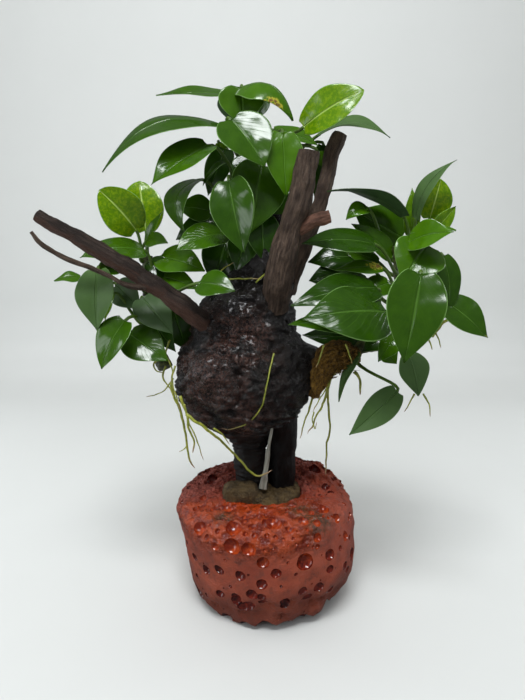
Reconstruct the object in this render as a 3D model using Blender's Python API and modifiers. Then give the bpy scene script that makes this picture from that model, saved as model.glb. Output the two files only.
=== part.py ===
"""An anubias grown onto driftwood, which stands in the socket of a red pitted stone.

The stone's underside is at z = 0 and its axis is the z axis. The front of the plant looks along -Y.
Places of leaves, wood and roots are spots of the photograph, (across, down) in its 525 x 700 pixels, each
with a chosen depth: y in millimetres, negative nearer the eye. spot() turns them into model space.
"""

import math
import random
from collections import namedtuple

import bmesh
import bpy
from mathutils import Matrix, Vector, noise

MM = 0.001
GAP = 0.3  # left between pieces that touch, mm
CUT_SWELL = 0.5  # how far a cutter's corners stand out, so that its flats keep the gap

# The eye of the photograph, mm and pixels
EYE = Vector((-2.0, -256.0, 184.0))
EYE_PITCH = math.radians(12.0)
PHOTO_FOCAL = 526.0
PHOTO_CENTRE = (262.5, 350.0)

# Stone, mm
STONE_HEIGHT = 55.0
SOCKET_RADIUS = 18.5
SOCKET_FLOOR = 35.0
# How far the stone's side stands to the right, by height
STONE_LEAN = [(0.0, 0.5), (10.0, 1.5), (24.0, 2.2), (36.0, 1.2), (48.0, -1.2), (60.0, -1.5)]
HIGH_CORNER = Vector((26.0, 26.0, 55.0))  # the top stands higher here, at the back right
HIGH_RISE = 4.0
HIGH_WIDTH = 17.0
TOP_FROM = 48.0  # height above which the top's unevenness is added
TOP_RELIEF = 1.4
TOP_SCALE = 0.12  # of the noise, 1/mm
SIDE_BUMPS = ((1.3, 0.06), (0.7, 0.15))  # height in mm and scale of the noise in 1/mm
# The rugged top and shoulder: the same pairs, how much of it stands out sideways, its highest
# rise, where it starts and is full, and its share at the front and further back
RUGGED = ((1.5, 0.22), (1.1, 0.5))
RUGGED_SIDEWAYS = 0.75
RUGGED_RISE = 1.2
RUGGED_FROM, RUGGED_FULL = 44.0, 52.0
RUGGED_LOW_SHARE = 0.2
RUGGED_FRONT, RUGGED_BACK = -18.0, 8.0
RUGGED_SHARE = 0.6
RUGGED_TOP = 54.0  # above this it moves the surface up and down
# Bites out of the bottom edge: (across, down) in pixels and how wide, mm
EDGE_BREAKS = [(257, 617, 8.0), (301, 611, 9.0), (225, 612, 7.0), (335, 597, 7.0)]
BREAK_DEPTH = 3.6
SOCKET_SHIFT = 3.0  # the socket lies this far behind the stone's axis
STONE_TURNS = 26
CHAMFER = 2.0  # of the socket's rim, wide
CHAMFER_DROP = 2.5
# Outer side of the stone, (radius, height) from the top inner rim down to the underside
STONE_SIDE = [
    (27.5, 55.6), (33.5, 55.5), (38.0, 55.0), (41.0, 54.0), (44.8, 49.5), (45.5, 42.0), (45.0, 32.0),
    (43.8, 20.0), (41.9, 10.0), (39.0, 3.8), (34.8, 0.0),
]
PIT_DEPTH = 0.68  # depth of a pit over its radius
PIT_SPACING = 0.8  # mm of stone left between pits
PIT_AROUND = 7
PIT_RINGS = 4
PIT_GROWTH = 1.06  # makes up for the flats of a pit's ball

# Pits of the stone's front: (across, down, radius) in pixels
FRONT_PITS = [
    (200, 528, 7.0), (234, 528, 8.0), (233, 547, 8.4), (249, 547, 7.3), (272, 523, 9.5), (290, 529, 4.6),
    (225, 508, 6.8), (323, 510, 6.4), (303, 521, 5.0), (336, 519, 5.0), (345, 536, 4.5), (330, 555, 5.6),
    (343, 565, 4.2), (330, 569, 4.2), (305, 562, 8.4), (263, 563, 6.0), (276, 573, 5.2), (262, 584, 5.4),
    (240, 576, 5.6), (219, 570, 5.6), (206, 570, 5.0), (196, 556, 4.2), (220, 594, 4.4), (236, 598, 5.2),
    (252, 595, 5.8), (285, 603, 4.8), (303, 592, 4.6), (319, 588, 5.4), (216, 545, 4.0), (253, 526, 4.2),
    (318, 538, 4.4),
]
BACK_PIT_TRIES = 34
BACK_PIT_RADII = (2.2, 4.1)  # mm
BACK_PIT_HEIGHTS = (7.0, 45.0)
FRONT_SHARE = -0.55  # the sine of the angle below which the front's own pits are
GOLDEN_TURN = math.pi * (3 - math.sqrt(5))  # spreads places evenly round a circle
# Pits of the top: (x, y, radius) mm
TOP_PITS = [(-31.0, 12.0, 3.0), (-26.0, 27.0, 2.6), (27.0, 20.0, 3.2), (12.0, 35.0, 2.8), (31.0, 2.0, 2.4)]

# Mortar round the wood, (radius, height) mm
MORTAR_SIDE = [(18.1, 35.4), (18.1, 51.5), (16.8, 54.6), (11.5, 55.8), (5.0, 55.8)]
MORTAR_CHUNK = Vector((-12.0, -9.5, 55.0))  # raised lump at the front left
MORTAR_CHUNK_RISE = 6.0
MORTAR_CHUNK_WIDTH = 8.0
MORTAR_RELIEF = 0.8
MORTAR_AROUND = 18

# Driftwood, mm: sections of the burl and the left trunk column below it.
# Each is (height, centre x, centre y, half width, half depth).
BURL_SECTIONS = [
    (41.0, -8.0, 3.0, 7.8, 7.8), (60.0, -8.2, 3.0, 8.2, 8.2), (78.0, -8.5, 3.0, 8.7, 9.0),
    (85.0, -10.5, 2.0, 11.5, 11.5), (89.5, -11.0, 1.0, 17.0, 15.0), (95.0, -12.0, 0.0, 25.0, 19.0),
    (103.0, -11.5, 0.0, 30.5, 23.0), (115.0, -10.5, 0.0, 34.5, 25.5), (127.0, -11.0, 0.0, 33.0, 25.0),
    (135.0, -12.0, 0.0, 26.5, 22.0), (143.0, -12.0, 0.0, 25.0, 20.0), (154.0, -9.0, -1.0, 22.0, 17.5),
    (163.0, -4.5, -1.0, 17.5, 13.5), (172.0, 0.0, 0.0, 12.5, 10.5), (184.0, 2.5, 1.0, 9.0, 8.0),
    (195.0, 4.0, 2.0, 5.0, 4.5),
]
BURL_AROUND = 20
# Knobs of the burl: (across, down, depth), how far it stands out and how wide it is, mm
BURL_KNOBS = [
    ((214, 364, -22), 3.6, 10.0), ((236, 322, -20), 3.0, 7.0), ((276, 328, -18), 3.2, 7.5),
    ((262, 378, -24), 2.0, 8.0), ((190, 384, -12), 2.2, 7.0), ((222, 402, -16), 2.0, 6.0),
    ((311, 351, -4), 7.0, 11.0),
]
BURL_RELIEF = 2.0  # mm
BURL_FULL = 16.0  # half width from which the relief is full, mm
BARK_RELIEF = 0.9  # mm
TWIG_RELIEF = 0.2
RHIZOME_RELIEF = 0.25
THIN_LIMB = 3.0  # radius below which relief shrinks with the limb

# Limbs: route as (across, down, depth) and its radii in mm
RIGHT_COLUMN = [((8.0, 5.4, 41.0), 7.1, 6.2), ((8.0, 5.4, 60.0), 7.3, 6.3), ((8.2, 4.8, 80.0), 7.5, 6.6),
                ((8.0, 2.0, 95.0), 7.8, 7.4), ((5.0, 0.0, 106.0), 7.8, 7.8)]
LEFT_BRANCH = [((37, 215, -30), 2.7), ((81, 240, -29), 3.5), ((118, 262, -27), 3.9), ((142, 277, -25), 4.2),
               ((173, 298, -21), 4.4), ((195, 315, -15), 4.8), ((214, 330, -6), 5.2)]
TWIG = [((31, 232, -34), 0.9), ((40, 243, -34), 1.1), ((54, 252, -33), 1.1), ((70, 260, -33), 1.1),
        ((89, 267, -32), 1.2), ((109, 276, -31), 1.2), ((127, 285, -30), 1.3), ((146, 288, -27), 1.4)]
FRONT_BRANCH = [((309, 151, -23), 4.3), ((305, 175, -23), 4.9), ((300, 200, -23), 5.1),
                ((290, 230, -22), 5.3), ((283, 256, -20), 6.2), ((278, 282, -17), 6.6),
                ((274, 306, -10), 6.6)]
STUB = [((298, 230, -22), 3.0), ((315, 221, -23), 2.9), ((330, 217, -23), 2.7)]
BACK_BRANCH = [((340, 134, 5), 3.0), ((332, 154, 4), 3.5), ((327, 178, 2), 3.5), ((319, 204, -1), 3.4),
               ((309, 232, -3), 3.5), ((298, 262, -2), 3.7), ((287, 292, 0), 4.0)]
# Torn bark, with its half height beside its half depth
TORN_BARK = [((314, 396, -8), 2.2, 2.6), ((316, 386, -10), 3.6, 4.2), ((320, 372, -11), 5.4, 5.4),
             ((329, 359, -11), 6.8, 5.4), ((342, 354, -9), 6.6, 4.6), ((353, 354, -8), 5.0, 3.4),
             ((359, 351, -7), 2.4, 1.8)]
LIMB_AROUND = 8
TWIG_AROUND = 6

# Rhizomes: route and radii
RHIZOMES = {
    "top": [((222, 281, 15), 3.2), ((231, 250, 13), 3.4), ((239, 205, 14), 3.2), ((244, 165, 14), 2.8),
            ((250, 132, 12), 2.2)],
    "left": [((165, 368, -6), 3.4), ((156, 345, 0), 3.4), ((150, 315, 4), 3.2), ((148, 285, 6), 3.0),
             ((148, 256, 8), 2.4)],
    "right": [((343, 350, 7), 3.2), ((362, 347, 2), 3.4), ((387, 338, 2), 3.4), ((400, 308, 4), 3.2),
              ((400, 275, 4), 3.0), ((398, 246, 3), 2.4)],
}
RHIZOME_AROUND = 7

# Roots that hang free: route and thickness
ROOTS = {
    "root_left_long": ([(186, 414, -24), (202, 426, -24), (218, 438, -20), (233, 452, -14),
                        (250, 471, -12), (261, 476, -11), (272, 470, -11)], 1.5),
    "root_left_1": ([(171, 382, -12), (174, 396, -13), (181, 414, -13), (186, 438, -12),
                     (190, 459, -12), (195, 468, -12)], 1.6),
    "root_left_2": ([(180, 396, -18), (186, 412, -18), (189, 430, -18), (194, 443, -18),
                     (193, 453, -18)], 1.4),
    "root_right_1": ([(328, 379, -8), (328, 388, -2), (328, 402, 6), (330, 424, 6), (327, 446, 5),
                      (326, 462, 4), (326, 476, 3)], 1.5),
    "root_right_2": ([(336, 370, -9), (330, 381, -9), (323, 404, -9), (315, 420, -9), (308, 434, -8)], 1.4),
    "root_right_tip": ([(431, 336, -6), (439, 328, -6), (448, 320, -6), (458, 317, -6), (468, 323, -6)], 1.8),
}
ROOT_TAPER = 0.45  # share of its thickness that a root loses towards its tip

# Leaves, mm
BLADE_THICKNESS = 0.8
STALK_RADIUS = 0.9
EDGE_RADIUS = 0.25  # least half width of the tip
LOBE = 0.07  # how far the heart's lobes run back, over the blade's length
LOBE_END = 0.16  # share of the blade that the lobes take up
SHOULDER = 0.42  # where the flat of the blade ends, over its half width
STALK_ARRIVAL = 8.0  # most that the stalk runs in line with the blade before its base, mm
HEXAGON = math.sqrt(3) / 2  # height of a hexagon's flat over its corner radius
# Points round a blade: across it, over its half width, and above or below
BLADE_RING = ((1, 0), (SHOULDER, 1), (-SHOULDER, 1), (-1, 0), (-SHOULDER, -1), (SHOULDER, -1))
BLADE_STATIONS = (0.0, 0.04, 0.16, 0.4, 0.65, 0.85, 1.0)
STALK_STATIONS = (0.0, 0.4, 0.75)

# name, where its stalk leaves the clump's rhizome (0 its start, 1 its end), base and tip of the blade as
# (across, down, depth), width in mm, the way the upper face looks, arch and fold over length and half width
Leaf = namedtuple("Leaf", "name at base tip width faces arch fold")
LEAVES = [
    Leaf("leaf_top_1", 1.00, (229, 94, 8), (156, 95, -6), 15, (0.0, -0.5, 0.85), 0.02, 0.1),
    Leaf("leaf_top_2", 0.92, (236, 92, 17), (242, 127, 28), 20, (0.0, 1.0, 0.2), 0.05, 0.1),
    Leaf("leaf_top_3", 0.95, (241, 88, 4), (293, 121, -8), 22, (0.3, -0.5, 0.8), 0.27, -0.5),
    Leaf("leaf_top_4", 0.80, (222, 125, 2), (102, 172, -16), 22, (-0.1, -0.5, 0.9), 0.19, -0.1),
    Leaf("leaf_top_5", 0.86, (231, 120, -14), (265, 167, -21), 25, (0.2, -0.85, 0.5), 0.05, 0.2),
    Leaf("leaf_top_6", 0.75, (283, 133, -10), (286, 197, -15), 17, (0.1, -1.0, 0.3), 0.05, 0.1),
    Leaf("leaf_top_7", 0.62, (261, 166, -3), (251, 233, -12), 26, (0.3, -0.9, 0.35), 0.08, 0.15),
    Leaf("leaf_top_8", 0.55, (229, 181, -18), (244, 253, -24), 20, (-0.3, -0.9, 0.35), 0.08, 0.2),
    Leaf("leaf_top_9", 0.68, (208, 146, -6), (151, 185, -20), 20, (-0.3, -0.8, 0.55), 0.06, 0.25),
    Leaf("leaf_top_10", 0.50, (199, 180, 2), (187, 236, -2), 17, (-0.65, -0.75, 0.2), 0.4, 0.1),
    Leaf("leaf_top_11", 0.30, (210, 211, 8), (177, 207, 7), 14, (0.0, -0.9, 0.4), 0.08, 0.1),
    Leaf("leaf_top_12", 0.18, (223, 234, -6), (176, 251, -18), 19, (0.0, -0.65, 0.75), 0.1, 0.1),
    Leaf("leaf_top_13", 1.00, (304, 127, 0), (364, 90, -8), 19, (-0.3, -0.9, 0.3), 0.08, 0.15),
    Leaf("leaf_top_14", 0.70, (320, 134, 14), (390, 138, 4), 17, (0.1, -0.5, 0.85), 0.18, 0.1),
    Leaf("leaf_top_15", 0.90, (274, 130, 15), (320, 147, 12), 12, (0.0, -0.6, 0.8), 0.06, 0.1),
    Leaf("leaf_left_1", 0.95, (136, 230, 12), (99, 190, 4), 21, (-0.2, -0.8, 0.6), 0.06, 0.2),
    Leaf("leaf_left_2", 1.00, (146, 231, 20), (139, 181, 24), 21, (0.2, -0.9, 0.3), 0.06, 0.2),
    Leaf("leaf_left_3", 0.80, (143, 250, -2), (80, 258, -14), 22, (-0.1, -0.55, 0.85), 0.1, 0.0),
    Leaf("leaf_left_4", 0.84, (97, 271, -16), (97, 331, -23), 19, (-0.2, -0.9, 0.35), 0.08, 0.15),
    Leaf("leaf_left_5", 0.75, (80, 278, 4), (54, 281, 0), 8, (0.0, -0.6, 0.8), 0.1, 0.1),
    Leaf("leaf_left_6", 0.40, (125, 321, -22), (102, 369, -28), 17, (-0.4, -0.9, 0.3), 0.08, 0.2),
    Leaf("leaf_left_7", 0.52, (117, 285, 3), (140, 309, -5), 15, (-0.3, -0.85, 0.4), 0.08, 0.1),
    Leaf("leaf_left_8", 0.45, (143, 298, -8), (173, 334, -17), 17, (0.1, -0.85, 0.5), 0.1, 0.1),
    Leaf("leaf_left_9", 0.10, (129, 334, -12), (168, 361, -20), 19, (0.0, -0.8, 0.6), 0.1, 0.1),
    Leaf("leaf_left_10", 0.90, (161, 257, 4), (205, 271, -8), 18, (0.0, -0.75, 0.65), 0.08, 0.1),
    Leaf("leaf_left_11", 0.70, (160, 277, 0), (199, 290, -11), 12, (0.0, -0.8, 0.6), 0.08, 0.1),
    Leaf("leaf_left_12", 0.60, (200, 283, -23), (235, 291, -30), 15, (0.0, -0.75, 0.65), 0.1, 0.1),
    Leaf("leaf_right_1", 0.98, (403, 216, 4), (327, 192, -6), 18, (-0.1, 0.05, 1.0), 0.12, 0.1),
    Leaf("leaf_right_2", 0.95, (402, 237, 14), (354, 211, 12), 24, (0.0, -0.93, 0.3), 0.05, 0.1),
    Leaf("leaf_right_3", 0.90, (391, 257, 4), (351, 224, 4), 12, (0.0, -0.8, 0.6), 0.1, 0.1),
    Leaf("leaf_right_4", 0.82, (374, 244, -10), (301, 244, -14), 17, (0.0, -0.65, 0.75), 0.08, 0.0),
    Leaf("leaf_right_5", 0.70, (381, 268, -6), (334, 270, -10), 10, (0.0, -0.6, 0.8), 0.08, 0.0),
    Leaf("leaf_right_6", 0.35, (386, 312, -24), (302, 319, -38), 30, (-0.1, -0.75, 0.65), 0.1, -0.1),
    Leaf("leaf_right_7", 0.64, (389, 283, -7), (357, 300, -10), 13, (0.0, -0.7, 0.7), 0.1, 0.1),
    Leaf("leaf_right_8", 0.55, (421, 274, -38), (404, 363, -46), 24, (-0.1, -0.95, 0.35), 0.08, 0.15),
    Leaf("leaf_right_9", 0.86, (427, 246, -14), (401, 282, -24), 24, (0.1, -0.75, 0.65), 0.12, 0.1),
    Leaf("leaf_right_10", 0.97, (409, 239, -8), (456, 231, -27), 10, (0.0, -0.4, 0.9), 0.1, 0.3),
    Leaf("leaf_right_11", 0.50, (445, 301, -10), (488, 338, -18), 18, (0.1, -0.8, 0.5), 0.08, 0.1),
    Leaf("leaf_right_12", 1.00, (416, 218, 0), (457, 160, -6), 10, (-0.75, -0.5, 0.4), 0.2, 0.1),
    Leaf("leaf_right_13", 0.92, (430, 218, 4), (441, 179, 2), 16, (0.1, -0.9, 0.3), 0.06, 0.15),
    Leaf("leaf_right_14", 0.30, (409, 355, -22), (418, 396, -26), 15, (0.2, -0.9, 0.3), 0.08, 0.1),
    Leaf("leaf_right_15", 0.10, (397, 392, -18), (349, 435, -28), 14, (0.2, -0.85, 0.5), 0.08, 0.1),
]

LIME_LEAVES = {"leaf_top_13", "leaf_left_1", "leaf_left_2", "leaf_right_13"}

# Colour and roughness of each material
COLOURS = {
    "stone": ((0.30, 0.075, 0.045), 0.45),
    "mortar": ((0.115, 0.09, 0.032), 0.9),
    "wood": ((0.03, 0.02, 0.015), 0.45),
    "branch": ((0.075, 0.05, 0.038), 0.6),
    "bark": ((0.16, 0.07, 0.015), 0.7),
    "leaf": ((0.03, 0.11, 0.01), 0.3),
    "lime": ((0.19, 0.35, 0.02), 0.35),
    "rhizome": ((0.05, 0.07, 0.015), 0.6),
    "root": ((0.2, 0.23, 0.03), 0.5),
}


def spot(across, down, depth):
    """The point seen at a pixel of the photograph, at y = depth, in millimetres."""
    forward = Vector((0.0, math.cos(EYE_PITCH), -math.sin(EYE_PITCH)))
    up = Vector((0.0, math.sin(EYE_PITCH), math.cos(EYE_PITCH)))
    ray = (
        forward
        + Vector((1.0, 0.0, 0.0)) * ((across - PHOTO_CENTRE[0]) / PHOTO_FOCAL)
        + up * ((PHOTO_CENTRE[1] - down) / PHOTO_FOCAL)
    )
    return EYE + ray * ((depth - EYE.y) / ray.y)


def clear_scene():
    for thing in list(bpy.data.objects):
        bpy.data.objects.remove(thing, do_unlink=True)


def make_collection(name):
    made = bpy.data.collections.new(name)
    bpy.context.scene.collection.children.link(made)
    return made


def make_materials():
    made = {}
    for name, (colour, roughness) in COLOURS.items():
        material = bpy.data.materials.new(name)
        material.use_nodes = True
        shader = material.node_tree.nodes["Principled BSDF"]
        shader.inputs["Base Color"].default_value = (*colour, 1.0)
        shader.inputs["Roughness"].default_value = roughness
        shader.inputs["Metallic"].default_value = 0.0
        material.diffuse_color = (*colour, 1.0)
        made[name] = material
    return made


def add_object(name, mesh, material=None):
    thing = bpy.data.objects.new(name, mesh)
    PARTS.objects.link(thing)
    if material:
        mesh.materials.append(MATERIALS[material])
    return thing


def loft(name, rings, material):
    """A closed body through rings of equal point counts, in millimetres, with both ends capped."""
    form = bmesh.new()
    rows = [[form.verts.new(point * MM) for point in ring] for ring in rings]
    count = len(rows[0])
    for lower, upper in zip(rows, rows[1:]):
        for i in range(count):
            j = (i + 1) % count
            form.faces.new((lower[i], lower[j], upper[j], upper[i]))
    form.faces.new(rows[0])
    form.faces.new(rows[-1])
    bmesh.ops.recalc_face_normals(form, faces=form.faces)
    bmesh.ops.triangulate(form, faces=form.faces)  # so that a cutter copied from it has the same flats
    mesh = bpy.data.meshes.new(name)
    form.to_mesh(mesh)
    form.free()
    mesh.shade_smooth()
    mesh.set_sharp_from_angle(angle=math.radians(50))
    return add_object(name, mesh, material)


def bezier(points, share):
    """A point of the Bezier curve with these control points."""
    while len(points) > 1:
        points = [a.lerp(b, share) for a, b in zip(points, points[1:])]
    return points[0]


def smooth_route(points, steps):
    """Points of a smooth curve through the given ones."""
    ends = [points[0] * 2 - points[1], *points, points[-1] * 2 - points[-2]]
    route = []
    for before, a, b, after in zip(ends, ends[1:], ends[2:], ends[3:]):
        for step in range(steps):
            controls = [a, a + (b - before) / 6, b - (after - a) / 6, b]
            route.append(bezier(controls, step / steps))
    return [*route, points[-1]]


def frames_along(route, side):
    """(point, side, up) at each point of a route, turned as little as possible on the way."""
    framed = []
    last = None
    for i, point in enumerate(route):
        ahead = (route[min(i + 1, len(route) - 1)] - route[max(i - 1, 0)]).normalized()
        if last is not None:
            side = last.rotation_difference(ahead) @ side
        side = (side - ahead * side.dot(ahead)).normalized()
        framed.append((point, side, side.cross(ahead)))
        last = ahead
    return framed


def relief(point, scale=0.11):
    """Bark's ups and downs at a point, about -1 to 1."""
    return noise.noise(point * scale) + 0.5 * noise.noise(point * scale * 2.3)


def add_limb(name, route, material, around=LIMB_AROUND, roughness=BARK_RELIEF):
    """A limb of wood along (point, half width, half depth) sections."""
    points = [point for point, _, _ in route]
    rings = []
    for (point, side, up), (_, wide, deep) in zip(frames_along(points, Vector((0, -1, 0.2))), route):
        ring = []
        for i in range(around):
            angle = 2 * math.pi * i / around
            way = side * math.cos(angle) * deep + up * math.sin(angle) * wide
            swell = 1 + roughness * relief(point + way) / max(wide, THIN_LIMB)
            ring.append(point + way * swell)
        rings.append(ring)
    return loft(name, rings, material)


def photo_route(route):
    return [(spot(*place), radius, radius) for place, radius in route]


def smoother(sections, steps):
    """More sections of a limb, on a smooth curve through the given ones."""
    places = smooth_route([point for point, _, _ in sections], steps)
    sizes = smooth_route([Vector((wide, deep, 0.0)) for _, wide, deep in sections], steps)
    return [(point, size.x, size.y) for point, size in zip(places, sizes)]


def cutter_from(thing):
    """A copy of a solid, grown by the gap, that cuts its neighbours."""
    mesh = thing.data.copy()
    mesh.materials.clear()
    for vertex in mesh.vertices:
        vertex.co = vertex.co + vertex.normal * CUT_SWELL * MM
    cutter = bpy.data.objects.new("cut_by_" + thing.name, mesh)
    CUTTERS.objects.link(cutter)
    cutter.hide_render = True
    cutter.display_type = "WIRE"
    return cutter


def boolean(thing, other, operation):
    modifier = thing.modifiers.new(operation.lower() + "_" + other.name, "BOOLEAN")
    modifier.operation = operation
    modifier.solver = "EXACT"
    modifier.object = other
    return modifier


def apply_modifiers(thing):
    """Gives the object its evaluated mesh, keeping only its largest body."""
    shaped = bpy.data.meshes.new_from_object(thing.evaluated_get(bpy.context.evaluated_depsgraph_get()))
    thing.modifiers.clear()
    thing.data = shaped
    form = bmesh.new()
    form.from_mesh(shaped)
    bmesh.ops.remove_doubles(form, verts=form.verts, dist=0.00002)
    bodies = []
    seen = set()
    for start in form.verts:
        if start in seen:
            continue
        body = {start}
        edge_of = [start]
        while edge_of:
            for edge in edge_of.pop().link_edges:
                for vertex in edge.verts:
                    if vertex not in body:
                        body.add(vertex)
                        edge_of.append(vertex)
        seen |= body
        bodies.append(body)
    bodies.sort(key=len)
    for body in bodies[:-1]:
        bmesh.ops.delete(form, geom=list(body), context="VERTS")
    form.to_mesh(shaped)
    form.free()


def stone_shift(height):
    """How far the stone's side leans to the right at a height, mm."""
    for (lower, start), (upper, end) in zip(STONE_LEAN, STONE_LEAN[1:]):
        if height <= upper:
            return start + (end - start) * (height - lower) / (upper - lower)
    return STONE_LEAN[-1][1]


def stone_radius(height):
    """Radius of the stone's outer side at a height."""
    if height >= STONE_SIDE[0][1]:
        return 0.0
    for (upper_radius, upper), (lower_radius, lower) in zip(STONE_SIDE, STONE_SIDE[1:]):
        if lower <= height <= upper:
            return lower_radius + (upper_radius - lower_radius) * (height - lower) / (upper - lower)
    return 0.0


def on_stone(across, down):
    """Where the eye meets the stone at a pixel, and the millimetres that a pixel spans there."""
    start = spot(across, down, -60.0)
    way = (start - EYE).normalized()
    point = start
    while point.y < 60.0 and math.hypot(point.x - stone_shift(point.z), point.y) > stone_radius(point.z):
        point = point + way * 0.25
    return point, (point - EYE).length / PHOTO_FOCAL


def pit_places():
    """(point, radius) of every pit: those seen in front, on the top and spread round the back."""
    places = []

    def add(point, radius):
        if all((point - other).length > radius + size + PIT_SPACING for other, size in places):
            places.append((point, radius))

    for across, down, radius in FRONT_PITS:
        point, pixel = on_stone(across, down)
        add(point, radius * pixel)
    for x, y, radius in TOP_PITS:
        add(Vector((x, y, STONE_HEIGHT - 0.5)), radius)
    chance = random.Random(7)
    for i in range(BACK_PIT_TRIES):
        angle = i * GOLDEN_TURN
        height = chance.uniform(*BACK_PIT_HEIGHTS)
        if math.sin(angle) < FRONT_SHARE:
            continue
        radius = stone_radius(height)
        place = Vector((radius * math.cos(angle) + stone_shift(height), radius * math.sin(angle), height))
        add(place, chance.uniform(*BACK_PIT_RADII))
    return places


def stone_form(point, breaks):
    """Moves a point of the round stone to the real one: uneven, leaning and broken along the bottom edge."""
    out = Vector((point.x, point.y, 0.0)).normalized()
    bumps = sum(size * noise.noise(point * scale) for size, scale in SIDE_BUMPS)
    moved = point + out * bumps + Vector((stone_shift(point.z), 0.0, 0.0))
    if point.z > TOP_FROM:
        near = (point - HIGH_CORNER).length / HIGH_WIDTH
        moved.z += HIGH_RISE * math.exp(-(near**2)) + TOP_RELIEF * noise.noise(point * TOP_SCALE)
    for place, size in breaks:
        moved -= out * BREAK_DEPTH * math.exp(-(((point - place).length / size) ** 2))
    if point.z > RUGGED_FROM:
        share = min(1.0, (point.z - RUGGED_FROM) / (RUGGED_FULL - RUGGED_FROM)) + RUGGED_LOW_SHARE
        behind = min(1.0, max(0.0, (moved.y - RUGGED_FRONT) / (RUGGED_BACK - RUGGED_FRONT)))
        rugged = sum(size * noise.noise(moved * scale) for size, scale in RUGGED)
        rugged = max(rugged, -RUGGED_RISE) * share * RUGGED_SHARE * (1.0 + behind)
        moved += (out * RUGGED_SIDEWAYS - Vector((0.0, 0.0, 1.0 if point.z > RUGGED_TOP else 0.0))) * rugged
    return moved


def add_stone():
    profile = [
        (0.0, SOCKET_FLOOR), (SOCKET_RADIUS, SOCKET_FLOOR), (SOCKET_RADIUS, STONE_HEIGHT - CHAMFER_DROP),
        (SOCKET_RADIUS + CHAMFER, STONE_HEIGHT), *STONE_SIDE, (0.0, 0.0),
    ]
    mesh = bpy.data.meshes.new("stone_base")
    points = [Vector((radius, 0.0, height)) * MM for radius, height in profile]
    mesh.from_pydata(points, [(i, i + 1) for i in range(len(points) - 1)], [])
    stone = add_object("stone_base", mesh, "stone")
    turn = stone.modifiers.new("turn", "SCREW")
    turn.axis = "Z"
    turn.steps = turn.render_steps = STONE_TURNS
    turn.use_merge_vertices = True
    turn.merge_threshold = 0.00001
    apply_modifiers(stone)
    breaks = [(on_stone(across, down)[0], size) for across, down, size in EDGE_BREAKS]
    for vertex in stone.data.vertices:
        point = vertex.co / MM
        radius = math.hypot(point.x, point.y)
        if radius < SOCKET_RADIUS + 2 * CHAMFER:
            point.y += SOCKET_SHIFT if point.z > 0.0 else 0.0
        else:
            point = stone_form(point, breaks)
        vertex.co = point * MM
    pits = bmesh.new()
    for place, radius in pit_places():
        _, surface, normal, _ = stone.closest_point_on_mesh(place * MM)
        reach = radius * (1 + PIT_DEPTH**2) / (2 * PIT_DEPTH)
        centre = surface + normal * (reach - radius * PIT_DEPTH) * MM
        matrix = Matrix.Translation(centre) @ normal.to_track_quat("Z", "Y").to_matrix().to_4x4()
        bmesh.ops.create_uvsphere(
            pits, u_segments=PIT_AROUND, v_segments=PIT_RINGS, radius=reach * MM * PIT_GROWTH, matrix=matrix
        )
    pit_mesh = bpy.data.meshes.new("pits")
    pits.to_mesh(pit_mesh)
    pits.free()
    cutter = bpy.data.objects.new("pits", pit_mesh)
    CUTTERS.objects.link(cutter)
    cutter.hide_render = True
    cutter.display_type = "WIRE"
    boolean(stone, cutter, "DIFFERENCE").use_self = True  # neighbouring pits meet above the stone
    apply_modifiers(stone)
    stone.data.set_sharp_from_angle(angle=math.radians(35))
    return stone


def add_burl():
    knobs = [(spot(*place), rise, width) for place, rise, width in BURL_KNOBS]
    rings = []
    for height, x, y, wide, deep in BURL_SECTIONS:
        ring = []
        for i in range(BURL_AROUND):
            angle = 2 * math.pi * i / BURL_AROUND
            out = Vector((math.cos(angle) * wide, math.sin(angle) * deep, 0.0))
            point = Vector((x, y, height)) + out
            rise = sum(high * math.exp(-(((point - top).length / broad) ** 2)) for top, high, broad in knobs)
            rise += BURL_RELIEF * relief(point, 0.085) * min(1.0, wide / BURL_FULL)
            ring.append(point + out.normalized() * rise)
        rings.append(ring)
    return loft("driftwood_burl", rings, "wood")


def add_driftwood():
    burl = add_burl()
    around_burl = cutter_from(burl)
    column = add_limb(
        "driftwood_right_column",
        smoother([(Vector(point), wide, deep) for point, wide, deep in RIGHT_COLUMN], 2),
        "wood",
    )
    left = add_limb("driftwood_left_branch", smoother(photo_route(LEFT_BRANCH), 2), "branch")
    front = add_limb("driftwood_front_branch", smoother(photo_route(FRONT_BRANCH), 2), "branch")
    stub = add_limb("stub", photo_route(STUB), "branch")
    boolean(front, stub, "UNION")
    apply_modifiers(front)
    bpy.data.objects.remove(stub, do_unlink=True)
    back = add_limb("driftwood_back_branch", smoother(photo_route(BACK_BRANCH), 2), "branch")
    bark = add_limb(
        "driftwood_torn_bark",
        [(spot(*place), high, deep) for place, high, deep in TORN_BARK],
        "bark",
    )
    for limb in (column, left, front, back, bark):
        boolean(limb, around_burl, "DIFFERENCE")
        apply_modifiers(limb)
    twig = add_limb("driftwood_twig", smoother(photo_route(TWIG), 1), "branch", TWIG_AROUND, TWIG_RELIEF)
    boolean(twig, cutter_from(left), "DIFFERENCE")
    apply_modifiers(twig)
    return burl, column


def add_mortar(burl, column):
    rings = []
    for radius, height in MORTAR_SIDE:
        ring = []
        for i in range(MORTAR_AROUND):
            angle = 2 * math.pi * i / MORTAR_AROUND
            point = Vector((radius * math.cos(angle), radius * math.sin(angle) + SOCKET_SHIFT, height))
            if height > MORTAR_SIDE[0][1]:
                near = (point - MORTAR_CHUNK).length / MORTAR_CHUNK_WIDTH
                point.z += MORTAR_CHUNK_RISE * math.exp(-(near**2)) + MORTAR_RELIEF * relief(point, 0.3)
            ring.append(point)
        rings.append(ring)
    mortar = loft("sand_mortar", rings, "mortar")
    for wood in (burl, column):
        boolean(mortar, cutter_from(wood), "DIFFERENCE")
    apply_modifiers(mortar)


def rhizome_sections(clump):
    return smoother(photo_route(RHIZOMES[clump]), 2)


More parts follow.
